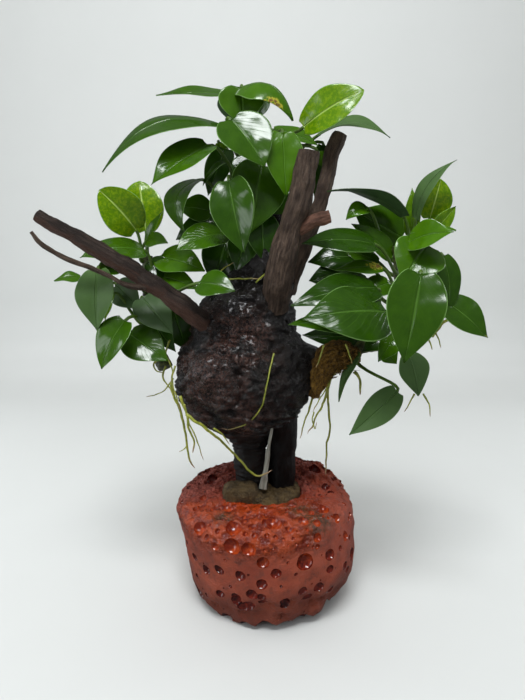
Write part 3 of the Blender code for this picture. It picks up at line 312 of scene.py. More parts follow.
# Smaller and half-hidden leaves that are in this scene alone
EXTRA_LEAVES = [
    ("small_top_1", 0.1, 0.66, (250, 160, 0), (234, 180, -2), 12, (-0.1, -0.9, 0.4), 0.06, 0.1),
    ("small_top_2", 0.3, 0.97, (262, 92, 14), (256, 116, 12), 10, (0.9, -0.3, 0.2), 0.2, 0.2),
    ("small_top_3", 0.3, 0.60, (226, 162, 6), (203, 186, -2), 5, (-0.3, -0.6, 0.7), 0.1, 0.3),
    ("small_top_4", 0.8, 0.72, (219, 143, 18), (226, 163, 16), 6, (0.0, -0.9, 0.3), 0.05, 0.1),
    ("small_top_5", 0.8, 0.45, (217, 170, 16), (222, 187, 14), 7, (0.0, -0.9, 0.3), 0.05, 0.1),
    ("small_top_6", 0.65, 0.90, (318, 152, 10), (322, 166, 8), 7, (0.0, -0.9, 0.4), 0.05, 0.0),
    ("small_left_1", 0.3, 0.98, (147, 247, 14), (163, 211, 14), 6, (-0.6, -0.7, 0.2), 0.08, 0.3),
    ("small_left_2", 0.3, 0.95, (147, 241, 6), (168, 243, 0), 9, (0.1, -0.8, 0.5), 0.1, 0.1),
    ("small_left_3", 0.5, 0.70, (121, 265, -8), (94, 274, -12), 13, (-0.1, -0.7, 0.7), 0.08, 0.1),
    ("small_left_4", 0.75, 0.42, (113, 295, -6), (105, 322, -10), 5, (-0.4, -0.9, 0.2), 0.08, 0.3),
    ("small_right_1", 0.6, 0.97, (367, 208, 2), (346, 220, -2), 9, (-0.1, -0.8, 0.6), 0.2, 0.1),
    ("small_right_2", 0.0, 0.75, (356, 257, 7), (308, 262, 6), 17, (0.0, -0.8, 0.6), 0.08, 0.0),
    ("small_right_3", 0.3, 0.68, (366, 279, -4), (334, 281, -8), 8, (0.0, -0.7, 0.7), 0.08, 0.0),
    ("small_right_4", 0.1, 0.72, (443, 256, -6), (446, 318, -12), 13, (0.3, -0.9, 0.3), 0.1, 0.1),
    ("small_right_5", 0.75, 1.00, (410, 234, 8), (412, 188, 8), 8, (-0.2, -0.9, 0.3), 0.1, 0.2),
    ("small_right_6", 0.8, 1.00, (434, 232, -2), (456, 206, -4), 8, (0.3, -0.8, 0.4), 0.1, 0.3),
    ("small_right_7", 0.3, 0.10, (358, 358, -12), (339, 402, -14), 6, (-0.9, -0.5, 0.2), 0.1, 0.2),
    ("small_right_8", 0.6, 0.28, (384, 350, -8), (396, 364, -10), 10, (0.0, -0.8, 0.5), 0.1, 0.1),
    ("small_right_9", 0.3, 0.80, (378, 262, 8), (345, 250, 8), 10, (0.0, -0.8, 0.5), 0.08, 0.0),
    ("small_right_10", 0.0, 0.62, (352, 272, 2), (309, 281, 2), 17, (0.0, -0.85, 0.5), 0.08, 0.0),
    ("small_right_11", 0.3, 0.30, (352, 331, -16), (288, 325, -28), 12, (0.0, -0.6, 0.8), 0.08, 0.0),
    ("small_top_7", 0.05, 0.24, (216, 222, 6), (176, 240, 4), 15, (0.0, -0.8, 0.5), 0.1, 0.1),
    ("small_top_8", 0.0, 0.20, (228, 236, 10), (214, 288, 6), 20, (-0.1, -0.9, 0.3), 0.1, 0.1),
    ("small_top_9", 0.0, 0.40, (242, 204, 12), (222, 262, 10), 22, (-0.1, -0.9, 0.3), 0.1, 0.1),
    ("small_top_10", 0.0, 0.50, (266, 186, 14), (268, 252, 14), 24, (0.1, -0.95, 0.3), 0.1, 0.1),
    ("small_top_11", 0.1, 0.66, (226, 150, 16), (208, 196, 12), 14, (-0.2, -0.9, 0.3), 0.1, 0.1),
    ("small_top_12", 0.0, 0.25, (256, 222, 16), (292, 268, 12), 20, (0.1, -0.95, 0.3), 0.1, 0.1),
    ("small_left_5", 0.1, 0.72, (150, 262, 2), (176, 284, 0), 13, (0.1, -0.9, 0.4), 0.1, 0.1),
    ("small_left_6", 0.0, 0.30, (150, 318, 4), (176, 352, -2), 11, (0.2, -0.9, 0.3), 0.1, 0.1),
    ("small_left_7", 0.0, 0.36, (172, 306, 4), (186, 350, 6), 17, (0.1, -0.95, 0.3), 0.1, 0.1),
    ("small_right_12", 0.15, 0.40, (392, 330, 0), (362, 352, -6), 12, (0.0, -0.8, 0.6), 0.1, 0.1),
    ("small_right_13", 0.05, 0.32, (376, 288, -14), (291, 306, -28), 20, (-0.1, -0.7, 0.7), 0.1, 0.0),
    ("small_right_14", 0.4, 0.34, (398, 335, -14), (378, 362, -18), 10, (0.0, -0.85, 0.5), 0.1, 0.1),
    ("small_right_16", -0.05, 0.15, (366, 338, 4), (302, 335, 5), 13, (0.0, -0.95, 0.3), 0.08, 0.1),
    ("small_top_13", 0.0, 0.22, (250, 226, -2), (236, 272, -6), 16, (-0.1, -0.9, 0.3), 0.08, 0.1),
    ("small_top_14", 0.0, 0.20, (262, 215, -4), (264, 262, -8), 16, (0.1, -0.9, 0.3), 0.08, 0.1),
    ("small_top_15", 0.3, 0.93, (242, 88, 0), (244, 126, -3), 21, (0.0, -0.95, 0.2), 0.05, 0.25),
    ("small_top_16", 0.0, 0.80, (324, 146, 16), (316, 206, 14), 12, (0.1, -0.95, 0.2), 0.05, 0.1),
    ("small_right_15", 0.5, 0.96, (410, 242, -16), (454, 232, -30), 15, (-0.15, -0.8, 0.5), 0.1, 0.15),
]
# Young leaves, with a rounder tip
YOUNG = {"leaf_top_13", "leaf_left_1", "leaf_left_2", "leaf_right_13", "small_right_9"}
# Leaves whose side veins show most, and leaves that show their dull side in the photograph
VEINED = {"leaf_right_6", "leaf_top_12"}
DULL = {"leaf_right_12", "leaf_right_14", "leaf_right_15", "small_right_7", "leaf_left_7", "leaf_left_8",
        "leaf_top_14", "leaf_left_4"}
# Damage: where on the blade (along, across) and how far it spreads
HURT = {"leaf_top_3": (0.74, 0.85, 0.11), "leaf_left_7": (1.0, 0.0, 0.16), "leaf_right_5": (0.05, 0.2, 0.25),
        "leaf_right_11": (0.98, 0.0, 0.04)}

# Stage and light, metres
BACKDROP_SIDE = [(-1.2, 0.0), (0.34, 0.0), (0.39, 0.004), (0.43, 0.02), (0.45, 0.05), (0.46, 0.1),
                 (0.47, 1.3)]
BACKDROP_GREY = (0.62, 0.63, 0.61)
WORLD_COLOUR = (0.96, 0.98, 1.0, 1.0)
WORLD_STRENGTH = 0.16
# Name, place, aim, size, watts, colour, and whether glossy surfaces mirror it
LAMPS = [
    ("ceiling", (0.0, -0.05, 1.15), (0.0, 0.02, 0.1), (1.4, 1.0), 5.8, (0.98, 0.99, 1.0), False),
    ("key", (-0.05, -0.34, 0.85), (0.0, 0.0, 0.12), (0.32, 0.2), 5.6, (0.95, 0.975, 1.0), True),
    ("window", (0.0, -0.75, 0.78), (0.0, 0.0, 0.14), (1.5, 0.32), 2.0, (0.93, 0.965, 1.0), False),
    ("side", (-0.6, -0.42, 0.25), (0.0, 0.0, 0.08), (0.2, 0.5), 1.2, (0.93, 0.965, 1.0), True),
    ("rim_left", (-0.5, 0.16, 0.14), (0.0, 0.0, 0.08), (0.12, 0.4), 0.6, (0.90, 0.95, 1.0), True),
    ("rim_right", (0.5, 0.16, 0.14), (0.0, 0.0, 0.06), (0.12, 0.4), 0.6, (0.90, 0.95, 1.0), True),
]


def spot(across, down, depth):
    """The point seen at a pixel of the photograph, at y = depth, in millimetres."""
    forward = Vector((0.0, math.cos(EYE_PITCH), -math.sin(EYE_PITCH)))
    up = Vector((0.0, math.sin(EYE_PITCH), math.cos(EYE_PITCH)))
    ray = (
        forward
        + Vector((1.0, 0.0, 0.0)) * ((across - PHOTO_CENTRE[0]) / PHOTO_FOCAL)
        + up * ((PHOTO_CENTRE[1] - down) / PHOTO_FOCAL)
    )
    return EYE + ray * ((depth - EYE.y) / ray.y)


def bezier(points, share):
    while len(points) > 1:
        points = [a.lerp(b, share) for a, b in zip(points, points[1:])]
    return points[0]


def smooth_route(points, steps):
    """Points of a smooth curve through the given ones."""
    ends = [points[0] * 2 - points[1], *points, points[-1] * 2 - points[-2]]
    route = []
    for before, a, b, after in zip(ends, ends[1:], ends[2:], ends[3:]):
        for step in range(steps):
            controls = [a, a + (b - before) / 6, b - (after - a) / 6, b]
            route.append(bezier(controls, step / steps))
    return [*route, points[-1]]


def frames_along(route, side):
    """(point, side, up) at each point of a route, turned as little as possible on the way."""
    framed = []
    last = None
    for i, point in enumerate(route):
        ahead = (route[min(i + 1, len(route) - 1)] - route[max(i - 1, 0)]).normalized()
        if last is not None:
            side = last.rotation_difference(ahead) @ side
        side = (side - ahead * side.dot(ahead)).normalized()
        framed.append((point, side, side.cross(ahead)))
        last = ahead
    return framed


def smoother(sections, steps):
    """More (point, wide, deep) sections of a limb on a smooth curve through the given ones."""
    places = smooth_route([point for point, _, _ in sections], steps)
    sizes = smooth_route([Vector((wide, deep, 0.0)) for _, wide, deep in sections], steps)
    return [(point, size.x, size.y) for point, size in zip(places, sizes)]


def photo_route(route):
    return [(spot(*place), radius, radius) for place, radius in route]


def angles(count):
    return [2 * math.pi * i / count for i in range(count)]


def bell(distance, width):
    """1 at no distance, falling smoothly to 0 around the width."""
    return math.exp(-((distance / width) ** 2))


def limited(value):
    return min(1.0, max(0.0, value))


def relief(point, scale=0.11):
    return noise.noise(point * scale) + 0.5 * noise.noise(point * scale * 2.3)


def placed(name, data):
    """A new object with the given data, linked to the scene."""
    made = bpy.data.objects.new(name, data)
    bpy.context.scene.collection.objects.link(made)
    return made


def finish_piece(name, mesh, material, nodes=()):
    """Makes a shown piece of a mesh, riding on the body and standing for the named nodes."""
    piece = placed(name, mesh)
    mesh.materials.clear()
    mesh.materials.append(material)
    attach(piece, "root")
    if nodes:
        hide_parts(*nodes)
    return piece


def add_attribute(mesh, key, values):
    """Gives every vertex a number, or a vector."""
    if isinstance(values[0], (int, float)):
        mesh.attributes.new(key, "FLOAT", "POINT").data.foreach_set("value", values)
    else:
        flat = [number for vector in values for number in vector]
        mesh.attributes.new(key, "FLOAT_VECTOR", "POINT").data.foreach_set("vector", flat)


def skin(name, rings, attributes=None):
    """A closed smooth mesh through rings of points in millimetres. Attributes name lists of values, one value
    a ring point."""
    count = len(rings[0])
    points = [point * MM for ring in rings for point in ring]
    faces = []
    for k in range(len(rings) - 1):
        for i in range(count):
            j = (i + 1) % count
            faces.append((k * count + i, k * count + j, (k + 1) * count + j, (k + 1) * count + i))
    faces.append(tuple(range(count - 1, -1, -1)))
    faces.append(tuple(range((len(rings) - 1) * count, len(rings) * count)))
    mesh = bpy.data.meshes.new(name)
    mesh.from_pydata(points, [], faces)
    for key, values in (attributes or {}).items():
        add_attribute(mesh, key, values)
    form = bmesh.new()
    form.from_mesh(mesh)
    bmesh.ops.recalc_face_normals(form, faces=form.faces)
    form.to_mesh(mesh)
    form.free()
    mesh.shade_smooth()
    return mesh


class Wire:
    """An output in a material's node tree, with plain arithmetic."""

    def __init__(self, tree, socket):
        self.tree = tree
        self.socket = socket

    def __add__(self, other):
        return self.tree.math("ADD", self, other)

    def __sub__(self, other):
        return self.tree.math("SUBTRACT", self, other)

    def __rsub__(self, other):
        return self.tree.math("SUBTRACT", other, self)

    def __mul__(self, other):
        return self.tree.math("MULTIPLY", self, other)


class Tree:
    """A material's node tree, with short calls for the nodes used here. They give and take wires."""

    def __init__(self, name):
        self.material = bpy.data.materials.new(name)
        self.material.use_nodes = True
        self.nodes = self.material.node_tree.nodes
        self.links = self.material.node_tree.links
        self.normal = {}

    def feed(self, node, inputs):
        """Sets a node's inputs, each to a wire, a number or a colour of three numbers."""
        for key, value in inputs.items():
            if isinstance(value, Wire):
                self.links.new(value.socket, node.inputs[key])
            else:
                node.inputs[key].default_value = (*value, 1.0) if isinstance(value, tuple) else value

    def node(self, kind, inputs, output=0, **settings):
        made = self.nodes.new("ShaderNode" + kind)
        for name, setting in settings.items():
            setattr(made, name, setting)
        self.feed(made, inputs)
        return Wire(self, made.outputs[output])

    def math(self, operation, a, b=0.0):
        return self.node("Math", {0: a, 1: b}, operation=operation)

    def attribute(self, name, output="Fac"):
        return self.node("Attribute", {}, output, attribute_name=name)

    def place(self):
        """The surface point in millimetres."""
        point = self.node("TexCoord", {}, "Object")
        return self.node("VectorMath", {0: point, "Scale": 1 / MM}, operation="SCALE")

    def split(self, vector):
        """The x, y and z of a vector."""
        first = self.node("SeparateXYZ", {0: vector})
        return [Wire(self, output) for output in first.socket.node.outputs]

    def noise(self, vector, scale, detail=4.0, roughness=0.55, distortion=0.0):
        return self.node("TexNoise", {"Vector": vector, "Scale": scale, "Detail": detail,
                                      "Roughness": roughness, "Distortion": distortion})

    def cells(self, vector, scale, feature="F1"):
        return self.node("TexVoronoi", {"Vector": vector, "Scale": scale}, "Distance", feature=feature)

    def step(self, value, low, high):
        """0 below low, 1 above high, smooth between. Where low is above high it falls instead."""
        return self.node("MapRange", {"Value": value, "From Min": low, "From Max": high}, "Result",
                         interpolation_type="SMOOTHSTEP")

    def mix(self, share, a, b):
        """Between two colours."""
        return self.node("Mix", {0: share, 6: a, 7: b}, 2, data_type="RGBA")

    def mix_value(self, share, a, b):
        return self.node("Mix", {0: share, 2: a, 3: b}, data_type="FLOAT")

    def bump(self, height, distance):
        """Bump of a height in units of distance, metres, on top of any bump before it."""
        made = self.node("Bump", {"Strength": 1.0, "Distance": distance, "Height": height, **self.normal})
        self.normal = {"Normal": made}

    def surface(self, colour, roughness, specular=0.5, coat=0.0, coat_roughness=0.1):
        self.feed(self.nodes["Principled BSDF"], {
            "Base Color": colour, "Roughness": roughness, "Specular IOR Level": specular,
            "Coat Weight": coat, "Coat Roughness": coat_roughness, **self.normal,
        })
        return self.material


def leaf_material(name, dull, veined=0.12):
    """A blade with a pale midrib and rim, fine curved side veins, a duller underside, and a smooth stalk."""
    tree = Tree(name)
    place = tree.place()
    tone = tree.attribute("tone")
    young = tree.step(tone, 0.6, 1.0)
    across, along, _ = tree.split(tree.node("UVMap", {}, uv_map="LeafPlan"))
    under = tree.math("GREATER_THAN", across, 1.5)
    out = tree.math("ABSOLUTE", (across - under * 2.0) * 2.0 - 1.0)
    lane = along + tree.noise(place, 0.12, 2.0) * 0.06 - tree.math("POWER", out, 0.8) * 0.42
    wave = tree.math("MAXIMUM", tree.math("SINE", lane * (2 * math.pi * SIDE_VEINS)), 0.0)
    vein = tree.math("POWER", wave, 6.0) * tree.step(out, 0.98, 0.5)
    fine = tree.noise(tree.node("CombineXYZ", {0: lane * 34.0, 1: out * 2.2}), 1.0, 4.0, 0.65)
    midrib = tree.step(out, 0.075, 0.01)
    rim = tree.step(out, 0.95, 0.995)
    stalk = tree.step(along, 0.01, -0.01)
    patches = tree.noise(place, 0.16, 3.0, 0.6)

    dark = tree.mix(patches, (0.004, 0.018, 0.001), (0.014, 0.050, 0.001))
    mid = tree.mix(patches, (0.022, 0.082, 0.001), (0.066, 0.165, 0.001))
    mottle = tree.step(tree.noise(place, 0.7, 6.0, 0.7), 0.42, 0.62)
    lime = tree.mix(mottle, (0.085, 0.19, 0.002), (0.18, 0.29, 0.003))
    green = tree.mix(tree.step(tone, 0.0, 0.55), dark, mid)
    green = tree.mix(young, green, lime)
    green = tree.mix(vein * (0.16 * veined), green, (0.10, 0.24, 0.02))
    green = tree.mix(fine * 0.12, green, (0.07, 0.16, 0.008))
    pale = tree.mix(young, (0.14, 0.30, 0.05), (0.50, 0.66, 0.16))
    green = tree.mix(midrib * tree.mix_value(young, 0.22, 0.75), green, pale)
    green = tree.mix(rim * 0.75, green, (0.20, 0.36, 0.10))
    back = tree.mix(tree.step(tone, 0.4, 0.9), (0.040, 0.085, 0.026), (0.17, 0.28, 0.02))
    back = tree.mix(vein * 0.15, back, (0.08, 0.15, 0.05))
    back = tree.mix(midrib * 0.6, back, (0.11, 0.19, 0.05))
    colour = tree.mix(under, green, back)
    if dull:
        colour = tree.mix(0.55, colour, (0.070, 0.115, 0.052))
    colour = tree.mix(stalk, colour, tree.mix(patches, (0.030, 0.075, 0.006), (0.09, 0.16, 0.015)))
    hurt = tree.attribute("hurt") * tree.step(tree.noise(place, 0.6, 4.0), 0.35, 0.6)
    colour = tree.mix(tree.step(hurt, 0.05, 0.35), colour, (0.34, 0.32, 0.03))
    colour = tree.mix(tree.step(hurt, 0.4, 0.75), colour, (0.12, 0.07, 0.02))

    tree.bump(vein, 0.00014 * veined)
    tree.bump(fine, 0.00008 * veined)
    tree.bump(1.0 - midrib, 0.00035)
    tree.bump(tree.noise(place, 0.09, 1.0), 0.0016)
    gloss = fine * 0.1 + (0.36 if dull else 0.13)
    roughness = tree.mix_value(tree.math("MAXIMUM", under, stalk), gloss, 0.5)
    return tree.surface(colour, roughness, 0.25 if dull else 0.42)


def wood_material(name, deep, pale, fleck, shine, depth, underside=None):
    """Wet weathered wood: grain runs along the limb by the "grain" attribute, in millimetres."""
    tree = Tree(name)
    place = tree.place()
    grain = tree.attribute("grain", "Vector")
    streaks = tree.noise(grain, 0.9, 6.0, 0.65, 0.3)
    specks = tree.noise(place, 1.5, 6.0, 0.75)
    colour = tree.mix(tree.step(streaks, 0.3, 0.75), deep, pale)
    colour = tree.mix(tree.step(tree.noise(place, 0.09, 4.0, 0.6), 0.45, 0.75) * 0.7, colour, deep)
    colour = tree.mix(tree.step(specks, 0.6, 0.8) * 0.5, colour, fleck)
    if underside:
        _, _, facing_up = tree.split(tree.node("TexCoord", {}, "Normal"))
        below = tree.step(facing_up + (streaks - 0.5) * 1.2, 0.1, -0.5)
        colour = tree.mix(below, colour, tree.mix(streaks, *underside))
    tree.bump(streaks, depth)
    tree.bump(tree.noise(grain, 2.6, 5.0, 0.7), depth * 0.35)
    tree.bump(specks, depth * 0.6)
    return tree.surface(colour, specks * 0.35 + shine, 0.22)


def burl_material():
    """Black crust that turns brown at the left and on the mound, wetter over the shoulder and the column, and
    kept black on the neck above the crease as painted shade.
    """
    tree = Tree("burl")
    place = tree.place()
    across, _, height = tree.split(place)
    crust = tree.noise(place, 0.85, 8.0, 0.72)
    knots = tree.noise(place, 0.11, 4.0, 0.6)
    mound = tree.attribute("mound")
    column = tree.step(height, 98.0, 86.0)
    brown = tree.mix(tree.step(crust, 0.38, 0.66), (0.008, 0.0040, 0.0032), (0.095, 0.043, 0.031))
    black = tree.mix(tree.step(crust, 0.35, 0.7), (0.0018, 0.0014, 0.0012), (0.012, 0.0085, 0.0068))
    warm = tree.step(knots, 0.40, 0.58) * tree.step(across, 14.0, -10.0) * tree.step(height, 84.0, 98.0)
    warm = tree.math("MAXIMUM", warm, mound * 0.9)
    # Painted shade: above about 150 mm the neck, high among the leaves, is kept black
    colour = tree.mix(warm * tree.step(height, 158.0, 146.0), black, brown)
    specks = tree.step(tree.noise(place, 1.3, 4.0, 0.7), 0.62, 0.74)
    colour = tree.mix(specks * 0.55, colour, (0.13, 0.085, 0.070))
    wrinkles = tree.node("TexWave", {"Vector": place, "Scale": 0.11, "Distortion": 7.0, "Detail": 4.0,
                                     "Detail Scale": 0.6}, "Fac", wave_type="BANDS", bands_direction="Z")
    tree.bump(tree.cells(place, 0.42, "SMOOTH_F1"), -0.0008)
    tree.bump(wrinkles * (column + 0.3), 0.0014)
    tree.bump(crust, 0.0008)
    tree.bump(tree.cells(place, 0.75), 0.0005)
    tree.bump(tree.noise(place, 2.4, 3.0, 0.7), 0.0008)
    film = tree.step(height, 122.0, 136.0) * tree.step(knots, 0.42, 0.56)
    film = tree.math("MAXIMUM", tree.math("MAXIMUM", film, mound * 0.35), column * 0.7)
    return tree.surface(colour, tree.mix_value(film, 0.19, 0.05) + crust * 0.2, 0.5, 0.18, 0.09)


def stone_material():
    """Dull salmon skin, wet orange over the front shoulder, spongy dark red behind it, patches of dirt, and
    painted shade that darkens it towards the bottom.
    """
    tree = Tree("stone_skin")
    place = tree.place()
    across, depth, height = tree.split(place)
    broad = tree.noise(place, 0.06, 3.0)
    fine = tree.noise(place, 0.9, 7.0, 0.7)
    grit = tree.noise(place, 3.5, 3.0, 0.6)
    smudge = tree.noise(place, 0.22, 5.0, 0.65)
    runs = tree.noise(place, 0.21, 4.0, 0.5)
    raised = height + (smudge - 0.5) * 14.0 - tree.step(across, 16.0, 30.0) * 12.0
    wet = tree.step(raised, 41.0, 48.5) * tree.step(depth, -6.0, -17.0)
    spongy = tree.step(raised, 46.0, 51.0) * tree.step(depth, -20.0, -8.0)
    # Painted shade: how far the skin is darkened towards the bottom
    low = tree.step(height + smudge * 16.0, 42.0, 12.0)
    socket = tree.attribute("socket") * tree.step(depth, 4.0, -12.0)
    dirt = tree.attribute("dirt") * tree.step(fine, 0.36, 0.56)

    colour = tree.mix(tree.step(broad, 0.3, 0.7), (0.25, 0.038, 0.015), (0.36, 0.064, 0.025))
    colour = tree.mix(tree.step(fine, 0.52, 0.75) * 0.4, colour, (0.20, 0.036, 0.022))
    colour = tree.mix(tree.step(smudge, 0.48, 0.68) * 0.65, colour, (0.12, 0.030, 0.018))
    colour = tree.mix(tree.step(grit, 0.62, 0.72) * 0.35, colour, (0.10, 0.030, 0.022))
    # Painted shade darkening the lower side
    colour = tree.mix(low * 0.62, colour, (0.105, 0.022, 0.009))
    sponge = tree.mix(tree.step(fine, 0.35, 0.65), (0.100, 0.012, 0.009), (0.58, 0.150, 0.105))
    colour = tree.mix(spongy * 0.85, colour, sponge)
    glaze = tree.mix(tree.step(runs, 0.38, 0.60), (0.10, 0.009, 0.003), (0.29, 0.045, 0.012))
    colour = tree.mix(wet * 0.9, colour, glaze)
    colour = tree.mix(socket * tree.step(fine, 0.25, 0.6), colour, (0.36, 0.036, 0.002))
    colour = tree.mix(dirt * 0.9, colour, (0.045, 0.032, 0.014))

    tree.bump(fine * (1.0 - wet * 0.8), 0.0010)
    tree.bump(grit, 0.00015)
    tree.bump(wet * runs, 0.0042)
    tree.bump(spongy * tree.noise(place, 0.55, 6.0, 0.7), 0.0035)
    roughness = tree.mix_value(wet, fine * 0.3 + 0.38, 0.13)
    return tree.surface(colour, tree.mix_value(spongy, roughness, 0.24), 0.45)


def pit_material():
    """The wet glaze inside the pits: orange in the wet zone, dark red below, with painted shade under each
    pit's brow.
    """
    tree = Tree("stone_pits")
    place = tree.place()
    _, depth, height = tree.split(place)
    fine = tree.noise(place, 0.7, 6.0, 0.65)
    wet = tree.step(height, 36.0, 44.0) * tree.step(depth, 0.0, -14.0)
    # Painted shade: each pit's inside is darkened under its upper rim, led by the bowl attribute
    brow = tree.step(tree.attribute("bowl"), 0.75, 0.0)
    low = tree.mix(tree.step(fine, 0.3, 0.7), (0.055, 0.004, 0.003), (0.19, 0.020, 0.009))
    high = tree.mix(tree.step(fine, 0.3, 0.7), (0.19, 0.015, 0.004), (0.40, 0.058, 0.010))
    shade = tree.mix(wet, (0.030, 0.002, 0.0015), (0.10, 0.008, 0.003))
    tree.bump(fine, 0.00008)
    return tree.surface(tree.mix(brow * 0.85, tree.mix(wet, low, high), shade), fine * 0.03 + 0.02)


def mortar_material():
    tree = Tree("mortar")
    place = tree.place()
    grains = tree.cells(place, 1.4)
    broad = tree.noise(place, 0.25, 4.0)
    fine = tree.noise(place, 2.0, 5.0, 0.75)
    colour = tree.mix(tree.step(broad, 0.3, 0.7), (0.050, 0.029, 0.008), (0.15, 0.092, 0.030))
    colour = tree.mix(tree.step(fine, 0.50, 0.62) * 0.75, colour, (0.022, 0.014, 0.006))
    colour = tree.mix(tree.step(grains, 0.34, 0.12) * 0.45, colour, (0.42, 0.31, 0.14))
    tree.bump(grains, 0.0009)
    tree.bump(fine, 0.0009)
    return tree.surface(colour, 0.6, 0.4)


def rhizome_material():
    tree = Tree("rhizome")
    bands = tree.noise(tree.attribute("grain", "Vector"), 0.7, 5.0, 0.7)
    stains = tree.step(tree.noise(tree.place(), 0.8, 5.0), 0.55, 0.7)
    colour = tree.mix(tree.step(bands, 0.35, 0.65), (0.020, 0.030, 0.006), (0.085, 0.10, 0.018))
    colour = tree.mix(stains * 0.7, colour, (0.04, 0.02, 0.01))
    tree.bump(bands, 0.0009)
    return tree.surface(colour, 0.5, 0.5, 0.1, 0.2)


def root_material():
    """Yellow-green, paling to a pinkish tip by the "along" attribute."""
    tree = Tree("root")
    place = tree.place()
    spots = tree.step(tree.noise(place, 0.5, 5.0), 0.35, 0.65)
    colour = tree.mix(spots, (0.17, 0.20, 0.014), (0.34, 0.35, 0.045))
    colour = tree.mix(tree.step(tree.attribute("along"), 0.7, 1.0), colour, (0.36, 0.22, 0.13))
    tree.bump(tree.noise(place, 1.2, 3.0), 0.0003)
    return tree.surface(colour, 0.42, 0.5, 0.2, 0.2)


def strip_material():
    """The pale, half clear strip in front of the trunk."""
    tree = Tree("pale_strip")
    streaks = tree.noise(tree.attribute("grain", "Vector"), 1.4, 5.0, 0.6)
    colour = tree.mix(tree.step(streaks, 0.3, 0.7), (0.12, 0.12, 0.095), (0.34, 0.34, 0.29))
    tree.bump(streaks, 0.0004)
    return tree.surface(colour, 0.35, 0.5, 0.3, 0.15)


def backdrop_material():
    tree = Tree("backdrop")
    darker = tuple(c * 0.97 for c in BACKDROP_GREY)
    return tree.surface(tree.mix(tree.noise(tree.place(), 0.02, 3.0), darker, BACKDROP_GREY), 0.6)


def blade_width(t, young):
    """Half width of a blade at t along it, 1 at its widest. Young leaves have a rounder tip."""
    reach = math.pi * min(t, 0.999) ** (0.8 if young else 0.66)
    return max(0.02, math.sin(reach) ** (0.6 if young else 0.7 + 0.3 * t))


def stalk_route(leaf, base, setting):
    """Points from the leaf's rhizome towards the blade's base. The stalk leaves square to the rhizome."""
    sections = smoother(photo_route(RHIZOMES[leaf.name.split("_")[1]]), 2)
    place = leaf.at * (len(sections) - 1)
    start = int(min(place, len(sections) - 2))
    core = sections[start][0].lerp(sections[start + 1][0], place - start)
    growth = (sections[start + 1][0] - sections[start][0]).normalized()
    rise = (base - core).length
    arrive = base - setting * min(STALK_ARRIVAL, rise * 0.3)
    leave = arrive - core
    leave = (leave - growth * leave.dot(growth)).normalized()
    foot = core + leave * (sections[start][1] - STALK_SINK)
    controls = [foot, foot + leave * rise * 0.3, arrive, base]
    return [bezier(controls, step / STALK_STEPS) for step in range(STALK_STEPS)]


def leaf_mesh(leaf, seed):
    """A fine blade and stalk on the same lines as the leaf's solid."""
    base, tip = spot(*leaf.base), spot(*leaf.tip)
    length = (tip - base).length
    along = (tip - base).normalized()
    up = Vector(leaf.faces)
    up = (up - along * up.dot(along)).normalized()
    side = along.cross(up)
    chance = random.Random(seed)
    sway = chance.uniform(-0.025, 0.025) * length
    ripple = chance.uniform(0.2, 0.5)
    phase = chance.uniform(0, 6.28)
    tone = leaf.tone + chance.uniform(-0.06, 0.06)

    def middle(t):
        bend = 4 * t * (1 - t)
        return base + along * (length * t) + up * (leaf.arch * length * bend) + side * (sway * bend)

    count = 2 * ACROSS
    young = leaf.name in YOUNG
    rings, plan = [], []
    stalk = stalk_route(leaf, base, (middle(0.1) - base).normalized())
    backward = frames_along([*stalk, base][::-1], side)[::-1]
    for step, (point, across, under) in enumerate(backward[:-1]):
        radius = STALK_RADIUS * (1.35 - 0.5 * min(1.0, step / 3))
        rings.append([point + (across * math.cos(angle) - under * math.sin(angle)) * radius
                      for angle in angles(count)])
        plan.append(-1.0 + step / STALK_STEPS)
    for step in range(BLADE_STEPS + 1):
        t = (step / BLADE_STEPS) ** 1.25
        heading = (middle(min(t + 0.02, 1.0)) - middle(max(t - 0.02, 0.0))).normalized()
        over = (up - heading * up.dot(heading)).normalized()
        cross = heading.cross(over)
        half = max(leaf.width / 2 * blade_width(t, young), STALK_RADIUS * 0.8 if t < 0.01 else 0.08)
        thick = BLADE_THICKNESS / 2 * (1.1 - 0.7 * t) if t > 0.01 else STALK_RADIUS * 0.8
        ring = []
        for i in range(count):
            q = math.cos(math.pi * i / ACROSS)
            lift = math.sin(math.pi * i / ACROSS)
            back = LOBE * length * abs(q) ** 1.5 * bell(t, 0.16) * min(1.0, t / 0.03)
            bend = leaf.fold * half * abs(q) ** 1.5
            bend += ripple * q * q * math.sin(9 * t + phase + q) * min(1.0, t * 5)
            bend -= MIDRIB_GROOVE * bell(q, 0.09) * min(1.0, t * 10) * min(1.0, half / 4)
            edge = math.copysign(abs(lift) ** 0.5, lift) * thick
            ring.append(middle(t) - heading * back + cross * half * q + over * (bend + edge))
        rings.append(ring)
        plan.append(t)
    hurt = [0.0] * (count * len(plan))
    if leaf.name in HURT:
        at, where, spread = HURT[leaf.name]
        for k, t in enumerate(plan):
            for i in range(count):
                away = math.hypot((t - at) / spread, (math.cos(math.pi * i / ACROSS) - where) / (spread * 3))
                hurt[k * count + i] = max(0.0, 1.3 - away) if t > 0 else 0.0
    mesh = skin(leaf.name, rings, {"tone": [tone] * len(hurt), "hurt": hurt})
    layer = mesh.uv_layers.new(name="LeafPlan")
    for face in mesh.polygons:
        steps = [v % count for v in face.vertices]
        wraps = max(steps) - min(steps) > ACROSS
        lower = max((s or count) if wraps else s for s in steps) > ACROSS
        for loop in face.loop_indices:
            vertex = mesh.loops[loop].vertex_index
            q = math.cos(math.pi * (vertex % count) / ACROSS)
            layer.data[loop].uv = ((q + 1) / 2 + (2.0 if lower else 0.0), plan[vertex // count])
    return mesh


